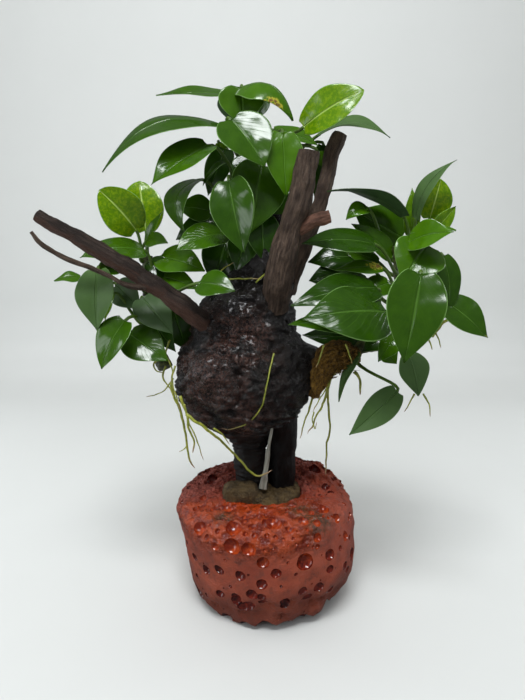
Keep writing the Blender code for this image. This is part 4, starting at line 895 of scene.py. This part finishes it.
def add_leaves():
    glossy = leaf_material("leaf_glossy", False)
    veined = leaf_material("leaf_veined", False, 0.5)
    dull = leaf_material("leaf_dull", True)
    for seed, row in enumerate(LEAVES + EXTRA_LEAVES):
        leaf = Leaf(*row)
        material = dull if leaf.name in DULL else veined if leaf.name in VEINED else glossy
        nodes = (leaf.name,) if leaf.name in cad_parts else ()
        finish_piece("fine_" + leaf.name, leaf_mesh(leaf, seed), material, nodes)


def pinched(ring):
    """A ring drawn in round its middle, to close an end."""
    middle = sum(ring, Vector()) / len(ring)
    return [middle + (point - middle) * END_PINCH for point in ring]


def limb_mesh(name, sections, around, roughness, stretch=0.16):
    """A limb with bark relief. Its grain attribute has coordinates across it and, much shrunk, along it."""
    points = [point for point, _, _ in sections]
    rings, grain = [], []
    run = 0.0
    for k, (point, side, up) in enumerate(frames_along(points, Vector((0, -1, 0.2)))):
        _, wide, deep = sections[k]
        run += (points[k] - points[k - 1]).length if k else 0.0
        ring = []
        for angle in angles(around):
            way = side * math.cos(angle) * deep + up * math.sin(angle) * wide
            flat = Vector((math.cos(angle) * deep, math.sin(angle) * wide, run * stretch))
            lines = noise.noise(flat * 0.75) + 0.6 * noise.noise(flat * 1.9)
            lines += 0.35 * noise.noise((point + way) * 0.9)
            out = way * (1 + 0.9 * relief(point + way) / max(wide, 3.0))
            ring.append(point + out + out.normalized() * lines * roughness)
            grain.append(flat)
        rings.append(ring)
    grain = [*grain[:around], *grain, *grain[-around:]]
    mesh = skin(name, [pinched(rings[0]), *rings, pinched(rings[-1])], {"grain": grain})
    mesh.set_sharp_from_angle(angle=SHARP_WOOD)
    return mesh


def burl_rise(point, centre, wide, knobs):
    """How far the burl's skin stands out at a point, and how far inside the mound the point is, up to 1."""
    bulk = min(1.0, wide / 16.0)
    rise = sum(high * bell((point - knob).length, broad) for knob, high, broad in knobs)
    rise += BURL_RELIEF * relief(point, 0.085) * bulk
    rise += 1.3 * noise.noise(point * 0.28) * bulk + 0.4 * noise.noise(point * 0.7)
    rise += 0.2 * noise.noise(point * 1.7)
    rise -= 0.7 * max(0.0, 0.2 - abs(noise.noise(point * 0.16 + Vector((9, 0, 0))))) * 5 * bulk
    rise += 0.9 * abs(noise.noise(point * 0.34 + Vector((0, 5, 0)))) * bulk
    wrinkle = math.sin(point.z * 2.4 + 3 * noise.noise(point * 0.12))
    rise += 0.5 * wrinkle * bell(centre.z - WRINKLE_HEIGHT, 18)
    sweep = point.z + 0.30 * point.x + 2.5 * noise.noise(point * 0.07)
    strands = math.sin(sweep * 1.5) + 0.5 * math.sin(sweep * 3.4 + 1.0)
    rise += 0.6 * strands * bell(sweep - STRAND_HEIGHT, 11) * bulk
    crease = centre.z - (CREASE_HEIGHT - 0.06 * (point.x + 12) + 3.0 * noise.noise(point * 0.1))
    rise -= 0.8 * bell(crease, 0.8) * bulk
    if point.y >= 0:
        return rise, 0.0
    edge = (point - MOUND).length - MOUND_RADIUS + 1.2 * noise.noise(point * 0.2)
    inside = limited(-edge / 5)
    return rise - 1.5 * bell(edge, 1.1) + 1.2 * inside, inside


def burl_mesh():
    """The burl and its trunk column, with knobs, wrinkles, strands, the crease round it and the mound."""
    knobs = [(spot(*place), rise, width) for place, rise, width in BURL_KNOBS]
    pairs = [(Vector((x, y, height)), wide, deep) for height, x, y, wide, deep in BURL_SECTIONS]
    rings, mounds = [], []
    for centre, wide, deep in smoother(pairs, BURL_STEPS):
        ring = []
        for angle in angles(BURL_AROUND):
            out = Vector((math.cos(angle) * wide, math.sin(angle) * deep, 0.0))
            rise, inside = burl_rise(centre + out, centre, wide, knobs)
            ring.append(centre + out + out.normalized() * rise)
            mounds.append(inside)
        rings.append(ring)
    return skin("burl", rings, {"mound": mounds})


def fibres_mesh(name, sections):
    """Torn strands that lie along the bark and stand off it at their ends, fused into one mesh."""
    framed = list(zip(frames_along([point for point, _, _ in sections], Vector((0, -1, 0.2))), sections))
    chance = random.Random(BARK_SEED)
    form = bmesh.new()
    for _ in range(BARK_FIBRES):
        angle = chance.uniform(-0.2 * math.pi, 0.8 * math.pi)
        start = chance.randrange(0, len(framed) * 2 // 3)
        end = min(len(framed) - 1, start + chance.randrange(10, 30))
        lift = chance.uniform(0.5, 3.2)
        points = []
        for k in range(start, end + 1, 4):
            (point, side, up), (_, wide, deep) = framed[k]
            away = 1.04 + 0.06 * noise.noise(point * 0.5)
            away += lift / max(deep, 2.0) * ((k - start) / (end - start)) ** 2
            drift = angle + 0.25 * noise.noise(point * 0.2 + Vector((angle, 0, 0)))
            points.append(point + (side * math.cos(drift) * deep - up * math.sin(drift) * wide) * away)
        if len(points) > 2:
            form.from_mesh(tube(name, points, chance.uniform(0.5, 1.1), 0.7, 6, 3))
    mesh = bpy.data.meshes.new(name)
    form.to_mesh(mesh)
    form.free()
    add_attribute(mesh, "grain", [vertex.co / MM for vertex in mesh.vertices])
    mesh.shade_smooth()
    return mesh


def add_driftwood():
    finish_piece("wood_burl", burl_mesh(), burl_material(), ("driftwood_burl",))
    woods = {name: wood_material("wood_" + name, *looks) for name, looks in WOODS.items()}
    column = [(Vector(point), wide, deep) for point, wide, deep in RIGHT_COLUMN]
    # Name, sections, wood, points round it, height of the relief in mm, slot
    limbs = (
        ("right_column", smoother(column, 14), "dark", 48, 0.25, "wood"),
        ("left_branch", smoother(photo_route(LEFT_BRANCH), 26), "ridged", 40, 0.3, "branch"),
        ("front_branch", smoother(photo_route(FRONT_BRANCH), 24), "warm", 44, 0.35, "branch"),
        ("back_branch", smoother(photo_route(BACK_BRANCH), 22), "warm", 36, 0.35, "branch"),
        ("twig", smoother(photo_route(TWIG), 10), "warm", 14, 0.15, "branch"),
        ("stub", smoother(photo_route(STUB), 14), "stub", 32, 0.35, "branch"),
    )
    for name, sections, wood, around, roughness, slot in limbs:
        mesh = limb_mesh("wood_" + name, sections, around, roughness)
        nodes = ("driftwood_" + name,) if "driftwood_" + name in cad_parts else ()
        finish_piece("wood_" + name, mesh, woods[wood], nodes)
    torn = smoother([(spot(*place), high, deep) for place, high, deep in TORN_BARK], 16)
    mesh = limb_mesh("torn_bark", torn, 72, 1.1, 0.5)
    finish_piece("torn_bark", mesh, woods["bark"], ("driftwood_torn_bark",))
    finish_piece("bark_fibres", fibres_mesh("bark_fibres", torn), woods["bark"])


def stone_shift(height):
    """How far the stone's side leans to the right at a height, mm."""
    for (lower, start), (upper, end) in zip(STONE_LEAN, STONE_LEAN[1:]):
        if height <= upper:
            return start + (end - start) * (height - lower) / (upper - lower)
    return STONE_LEAN[-1][1]


def stone_form(point, breaks, share):
    """The stone's uneven, leaning form with its broken bottom edge."""
    out = Vector((point.x, point.y, 0.0)).normalized()
    bumps = (1.3 * noise.noise(point * 0.06) + 0.7 * noise.noise(point * 0.15)) * share
    moved = point + out * bumps + Vector((stone_shift(point.z), 0.0, 0.0)) * share
    if point.z > 48.0:
        high = HIGH_RISE * bell((point - HIGH_CORNER).length, HIGH_WIDTH)
        moved.z += (high + 1.4 * noise.noise(point * 0.12)) * share
    for place, size in breaks:
        moved -= out * BREAK_DEPTH * bell((point - place).length, size)
    return moved


def stone_radius(height):
    for (upper_radius, upper), (lower_radius, lower) in zip(STONE_SIDE, STONE_SIDE[1:]):
        if lower <= height < upper:
            return lower_radius + (upper_radius - lower_radius) * (height - lower) / (upper - lower)
    return 0.0


def side_point(radius, angle, height):
    return Vector((radius * math.cos(angle) + stone_shift(height), radius * math.sin(angle), height))


def on_stone(across, down):
    """Where the eye meets the stone at a pixel, and the millimetres that a pixel spans there."""
    point = spot(across, down, -STONE_REACH)
    way = (point - EYE).normalized()
    while point.y < STONE_REACH:
        if math.hypot(point.x - stone_shift(point.z), point.y) <= stone_radius(point.z):
            break
        point = point + way * EYE_STEP
    return point, (point - EYE).length / PHOTO_FOCAL


def marks_on_stone(marks):
    """(point, size) on the stone of (across, down, size) in the photograph."""
    return [(on_stone(across, down)[0], size) for across, down, size in marks]


def nearness(point, marks):
    """The sum of a bell round each of some (centre, size) marks."""
    return sum(bell((point - centre).length, size) for centre, size in marks)


def pit_places():
    """(point, radius, depth share) of every pit, with the stone solid's pits first."""
    places = []

    def add(point, radius, spacing, depth=PIT_DEPTH):
        if all((point - other).length > radius + size + spacing for other, size, _ in places):
            places.append((point, radius, depth))

    for across, down, radius in FRONT_PITS:
        point, pixel = on_stone(across, down)
        add(point, radius * pixel, -FRONT_PIT_OVERLAP)
    for x, y, radius in TOP_PITS:
        add(Vector((x, y, STONE_HEIGHT - 0.5)), radius, PIT_SPACING)
    chance = random.Random(PIT_SEED)
    for i in range(BACK_PIT_TRIES):
        angle = i * math.pi * (3 - math.sqrt(5))
        height = chance.uniform(7.0, 45.0)
        if math.sin(angle) < -0.55:
            continue
        point = side_point(stone_radius(height), angle, height)
        add(point, chance.uniform(*BACK_PIT_RADII), PIT_SPACING)
    for across, down, radius in FINE_PITS:
        point, pixel = on_stone(across, down)
        add(point, radius * pixel, -FINE_PIT_OVERLAP * radius * pixel, FINE_PIT_DEPTH)
    for degrees, height, radius in EDGE_PITS:
        places.append((side_point(EDGE_RADIUS, math.radians(degrees), height), radius, EDGE_PIT_DEPTH))
    for across, down, radius in LOW_PITS:
        point, pixel = on_stone(across, down)
        places.append((point, radius * pixel, LOW_PIT_DEPTH))
    for i in range(CRUMB_PITS):
        angle = chance.uniform(0, 2 * math.pi)
        if i % 3 == 0:
            out = chance.uniform(SOCKET_RADIUS + 4, 42)
            place = Vector((out * math.cos(angle), out * math.sin(angle), STONE_HEIGHT - 0.5))
        else:
            height = chance.choice((chance.uniform(44, 54), chance.uniform(2, 44)))
            place = side_point(stone_radius(height), angle, height)
        front = place.y < -14 and place.z < 45
        size = chance.uniform(*CRUMB_RADII) * (FRONT_CRUMB if front else 1.0)
        add(place, size, CRUMB_SPACING, EDGE_PIT_DEPTH)
    return places


def stone_profile():
    """(radius, 0, height) of the drum's rings: socket floor, socket wall, lip, side and underside."""
    outer = smooth_route([Vector((radius, 0, height)) for radius, height in STONE_SIDE], 12)
    inner = [Vector((SOCKET_RADIUS, 0, SOCKET_FLOOR + SOCKET_WALL * k / 6)) for k in range(7)]
    lip = [inner[-1], Vector((SOCKET_RADIUS + 2.2, 0, STONE_HEIGHT)), Vector((26, 0, 55.6)), outer[0]]
    return [Vector((0.4, 0, SOCKET_FLOOR)), Vector((9, 0, SOCKET_FLOOR)), *inner[:-1],
            *smooth_route(lip, 8)[:-1], *outer, Vector((30, 0, 0)), Vector((15, 0, 0)), Vector((0.4, 0, 0))]


def socket_wall(point, out, height):
    """A point of the socket's wall, moved to where its ragged skin runs."""
    point.y += SOCKET_SHIFT
    point += out * (1.3 * noise.noise(point * 0.17) + 0.5 * noise.noise(point * 0.55))
    point.z += 1.1 * noise.noise(point * 0.3) * limited((height - 50) / 4)
    return point


def stone_skin(point, out, place, breaks, chips):
    """A point of the drum's outside with the stone's form, the chips of its edge and its rugged skin."""
    point = stone_form(point, breaks, min(1.0, place.x / 40))
    chip = min(1.0, nearness(point, chips))
    point += (Vector((0, 0, 0.7)) - out * 1.8) * chip * (1 + noise.noise(point * 0.9))
    rough = limited((place.z - ROUGH_FROM) / 8) + 0.2
    spongy = 0.6 + 0.6 * limited((point.y + 18) / 26)
    rugged = 1.5 * noise.noise(point * 0.22) + 1.1 * noise.noise(point * 0.5) + 0.6 * noise.noise(point * 1.1)
    rugged += 0.9 * abs(noise.noise(point * 0.36 + Vector((0, 9, 0)))) * spongy
    way = Vector((out.x * 0.75, out.y * 0.75, -1.0 if place.z > 54 else 0))
    return point + way * max(rugged, -1.2) * rough * spongy


def stone_mesh():
    """The drum without its pits, with how near each point is to the socket and to a patch of dirt."""
    breaks, chips, patches = map(marks_on_stone, (EDGE_BREAKS, FINE_BREAKS, DIRT_PATCHES))
    rings, socket, dirt = [], [], []
    for place in stone_profile():
        ring = []
        for angle in angles(STONE_AROUND):
            out = Vector((math.cos(angle), math.sin(angle), 0))
            point = out * place.x + Vector((0, 0, place.z))
            if place.x < SOCKET_RADIUS + 3 and place.z > 1.0:
                point = socket_wall(point, out, place.z)
            elif place.z > 1.0:
                point = stone_skin(point, out, place, breaks, chips)
            ring.append(point)
            socket.append(bell(place.x - SOCKET_RADIUS, 9) * (1.0 if place.z > 50 else 0.6))
            dirt.append(min(1.0, nearness(point, patches) * 1.6))
        rings.append(ring)
    return skin("stone", rings, {"socket": socket, "dirt": dirt, "bowl": [0.0] * len(socket)})


def bowl_groups(stone):
    """(centre, radius, way out) of the ball that cuts each pit, in groups of balls that don't meet."""
    groups = []
    for place, radius, depth in pit_places():
        _, surface, normal, _ = stone.closest_point_on_mesh(place * MM)
        reach = radius * (1 + depth**2) / (2 * depth)
        centre = surface / MM + normal * (reach - radius * depth)
        for group in groups:
            if len(group) < BOWLS_IN_A_CUT and all(
                (centre - other).length > reach + size + 0.1 for other, size, _ in group
            ):
                group.append((centre, reach, normal))
                break
        else:
            groups.append([(centre, reach, normal)])
    return groups


def bowls_mesh(group):
    """The uneven balls of one group. Their bowl attribute is low at a pit's brow, high at its lower lip; the
    pit material paints shade where it is low.
    """
    form = bmesh.new()
    painted_light_levels = []
    for centre, reach, normal in group:
        turn = normal.to_track_quat("Z", "Y").to_matrix().to_4x4()
        sides = 28 if reach > 1.6 else 12
        made = bmesh.ops.create_uvsphere(form, u_segments=sides, v_segments=sides // 2, radius=reach * MM,
                                         matrix=Matrix.Translation(centre * MM) @ turn)
        # Level of painted light on each ball point: low under the brow, where the pits get painted shade
        above = Vector((0, 0.6, 0.8))
        above = (above - normal * above.dot(normal)).normalized()
        painted_light_levels += [0.5 - 0.75 * above.dot(vertex.co / MM - centre) / reach for vertex in made["verts"]]
    for vertex in form.verts:
        vertex.co += vertex.normal * 0.28 * MM * noise.noise(vertex.co / MM * 0.8)
    mesh = bpy.data.meshes.new("bowls")
    form.to_mesh(mesh)
    form.free()
    add_attribute(mesh, "bowl", painted_light_levels)
    mesh.shade_smooth()
    return mesh


def add_stone():
    """The drum, with a crisp bowl cut for each pit. Bowls that meet are cut one after another."""
    stone = finish_piece("stone", stone_mesh(), stone_material(), ("stone_base",))
    pits = pit_material()
    stone.data.materials.append(pits)
    for group in bowl_groups(stone):
        cutter = placed("bowls", bowls_mesh(group))
        cutter.data.materials.append(pits)
        cut = stone.modifiers.new("pits", "BOOLEAN")
        cut.operation = "DIFFERENCE"
        cut.solver = "MANIFOLD"
        cut.material_mode = "TRANSFER"
        cut.object = cutter
        shaped = bpy.data.meshes.new_from_object(stone.evaluated_get(bpy.context.evaluated_depsgraph_get()))
        stone.modifiers.clear()
        stone.data = shaped
        bpy.data.objects.remove(cutter, do_unlink=True)
    stone.data.shade_smooth()
    stone.data.set_sharp_from_angle(angle=SHARP_STONE)


def lump_mesh(name, centre, size, blockiness, unevenness, around=64):
    """A lump: an ellipsoid, blocky where blockiness is well under 1, with an uneven skin."""
    def bend(value):
        return math.copysign(abs(value) ** blockiness, value)

    rings = []
    for k in range(1, around // 2):
        tilt = math.pi * (k / (around // 2) - 0.5)
        ring = []
        for angle in angles(around):
            way = Vector((bend(math.cos(angle)) * bend(math.cos(tilt)),
                          bend(math.sin(angle)) * bend(math.cos(tilt)), bend(math.sin(tilt))))
            point = centre + way * size
            rough = noise.noise(point * 0.25) + 0.5 * noise.noise(point * 0.8)
            rough += 0.3 * noise.noise(point * 2.0)
            ring.append(point + way.normalized() * rough * unevenness)
        rings.append(ring)
    return skin(name, rings)


def add_mortar():
    side = smooth_route([Vector((radius, 0, height)) for radius, height in MORTAR_SIDE], 9)
    side += [Vector((radius, 0, MORTAR_SIDE[-1][1])) for radius in (3.5, 2.0, 0.6)]
    rings = []
    for place in side:
        ring = []
        for angle in angles(MORTAR_AROUND):
            point = Vector((place.x * math.cos(angle), place.x * math.sin(angle) + SOCKET_SHIFT, place.z))
            if place.z > SOCKET_FLOOR + 5:
                near = (point - MORTAR_CHUNK).length
                point.z += MORTAR_CHUNK_RISE * math.exp(-((near / 8.0) ** 4)) + 0.8 * relief(point, 0.3)
                grains = 0.8 * noise.noise(point * 0.45) + 0.5 * noise.noise(point * 1.1)
                point.z += grains + 0.35 * noise.noise(point * 2.2)
            ring.append(point)
        rings.append(ring)
    material = mortar_material()
    finish_piece("mortar", skin("mortar", rings), material, ("sand_mortar",))
    finish_piece("mortar_lump", lump_mesh("mortar_lump", MORTAR_LUMP, MORTAR_LUMP_SIZE, 0.55, 0.9), material)


def tube(name, points, thickness, taper, around=10, steps=6):
    """A root: a smooth tapering tube with a round tip."""
    route = smooth_route(points, steps)
    rings, along = [], []
    for k, (point, side, up) in enumerate(frames_along(route, Vector((0.3, -1, 0.2)))):
        share = k / (len(route) - 1)
        lump = 1 + 0.18 * noise.noise(point * 0.5) + 0.1 * noise.noise(point * 1.6)
        tip = math.sqrt(max(0.05, 1 - max(0.0, share * 6 - 5) ** 2))
        radius = thickness / 2 * (1 - taper * share) * lump * tip
        drift = side * noise.noise(point * 0.25) + up * noise.noise(point * 0.25 + Vector((7, 0, 0)))
        centre = point + drift * 0.5 * thickness
        rings.append([centre + (side * math.cos(angle) + up * math.sin(angle)) * radius
                      for angle in angles(around)])
        along += [share] * around
    return skin(name, rings, {"along": along})


def add_roots():
    material = root_material()
    for name, (places, thickness) in ROOTS.items():
        mesh = tube(name, [spot(*place) for place in places], thickness, 0.5)
        finish_piece("fine_" + name, mesh, material, (name,))
    for number, (places, thickness) in enumerate(FINE_ROOTS, 1):
        mesh = tube("thin_root", [spot(*place) for place in places], thickness, 0.55, 8)
        finish_piece(f"thin_root_{number}", mesh, material)
    lying = []
    carrier = bpy.data.objects["wood_burl"]
    for across, down in BURL_ROOT:
        way = (spot(across, down, 0.0) - EYE).normalized()
        hit, place, normal, _ = carrier.ray_cast(EYE * MM, way)
        lying.append(place / MM + normal * 0.5 if hit else spot(across, down, -18.0))
    finish_piece("root_on_burl", tube("root_on_burl", lying, 0.7, 0.35), material)


def add_strip():
    sections = [(spot(*place), width / 2, 0.35) for place, width in PALE_STRIP]
    mesh = limb_mesh("pale_strip", smoother(sections, 10), 20, 0.08, 0.1)
    finish_piece("pale_strip", mesh, strip_material())


def add_rhizomes():
    material = rhizome_material()
    for clump, route in RHIZOMES.items():
        mesh = limb_mesh("rhizome", smoother(photo_route(route), 12), 28, 0.4, 1.0)
        finish_piece("knobbly_rhizome_" + clump, mesh, material, ("rhizome_" + clump,))


def add_stage():
    """A pale floor that curves up into a wall behind the plant."""
    points = [Vector((x, y, z)) for x in (-1.4, 1.4) for y, z in BACKDROP_SIDE]
    count = len(BACKDROP_SIDE)
    mesh = bpy.data.meshes.new("backdrop")
    mesh.from_pydata(points, [], [(i, i + 1, count + i + 1, count + i) for i in range(count - 1)])
    mesh.shade_smooth()
    mesh.materials.append(backdrop_material())
    backdrop = placed("backdrop", mesh)
    backdrop.visible_glossy = False


def add_lights():
    for name, place, aim, size, watts, colour, mirrored in LAMPS:
        light = bpy.data.lights.new(name, "AREA")
        light.shape = "RECTANGLE"
        light.size, light.size_y = size
        light.energy = watts
        light.color = colour
        lamp = placed(name, light)
        lamp.location = place
        lamp.rotation_euler = (Vector(aim) - Vector(place)).to_track_quat("-Z", "Y").to_euler()
        lamp.visible_glossy = mirrored
    world = bpy.context.scene.world or bpy.data.worlds.new("world")
    bpy.context.scene.world = world
    world.use_nodes = True
    background = world.node_tree.nodes["Background"]
    background.inputs["Color"].default_value = WORLD_COLOUR
    background.inputs["Strength"].default_value = WORLD_STRENGTH


def add_camera():
    data = bpy.data.cameras.new("eye")
    data.sensor_fit = "AUTO"
    data.sensor_width = SENSOR_WIDTH
    data.lens = data.sensor_width * PHOTO_FOCAL / PHOTO_HEIGHT
    data.clip_start = 0.01
    eye = placed("eye", data)
    eye.location = EYE * MM
    eye.rotation_euler = (math.radians(90) - EYE_PITCH, 0.0, 0.0)
    bpy.context.scene.camera = eye


bpy.context.scene.view_settings.view_transform = "Standard"
add_camera()
add_stage()
add_lights()
add_stone()
add_mortar()
add_driftwood()
add_rhizomes()
add_leaves()
add_roots()
add_strip()
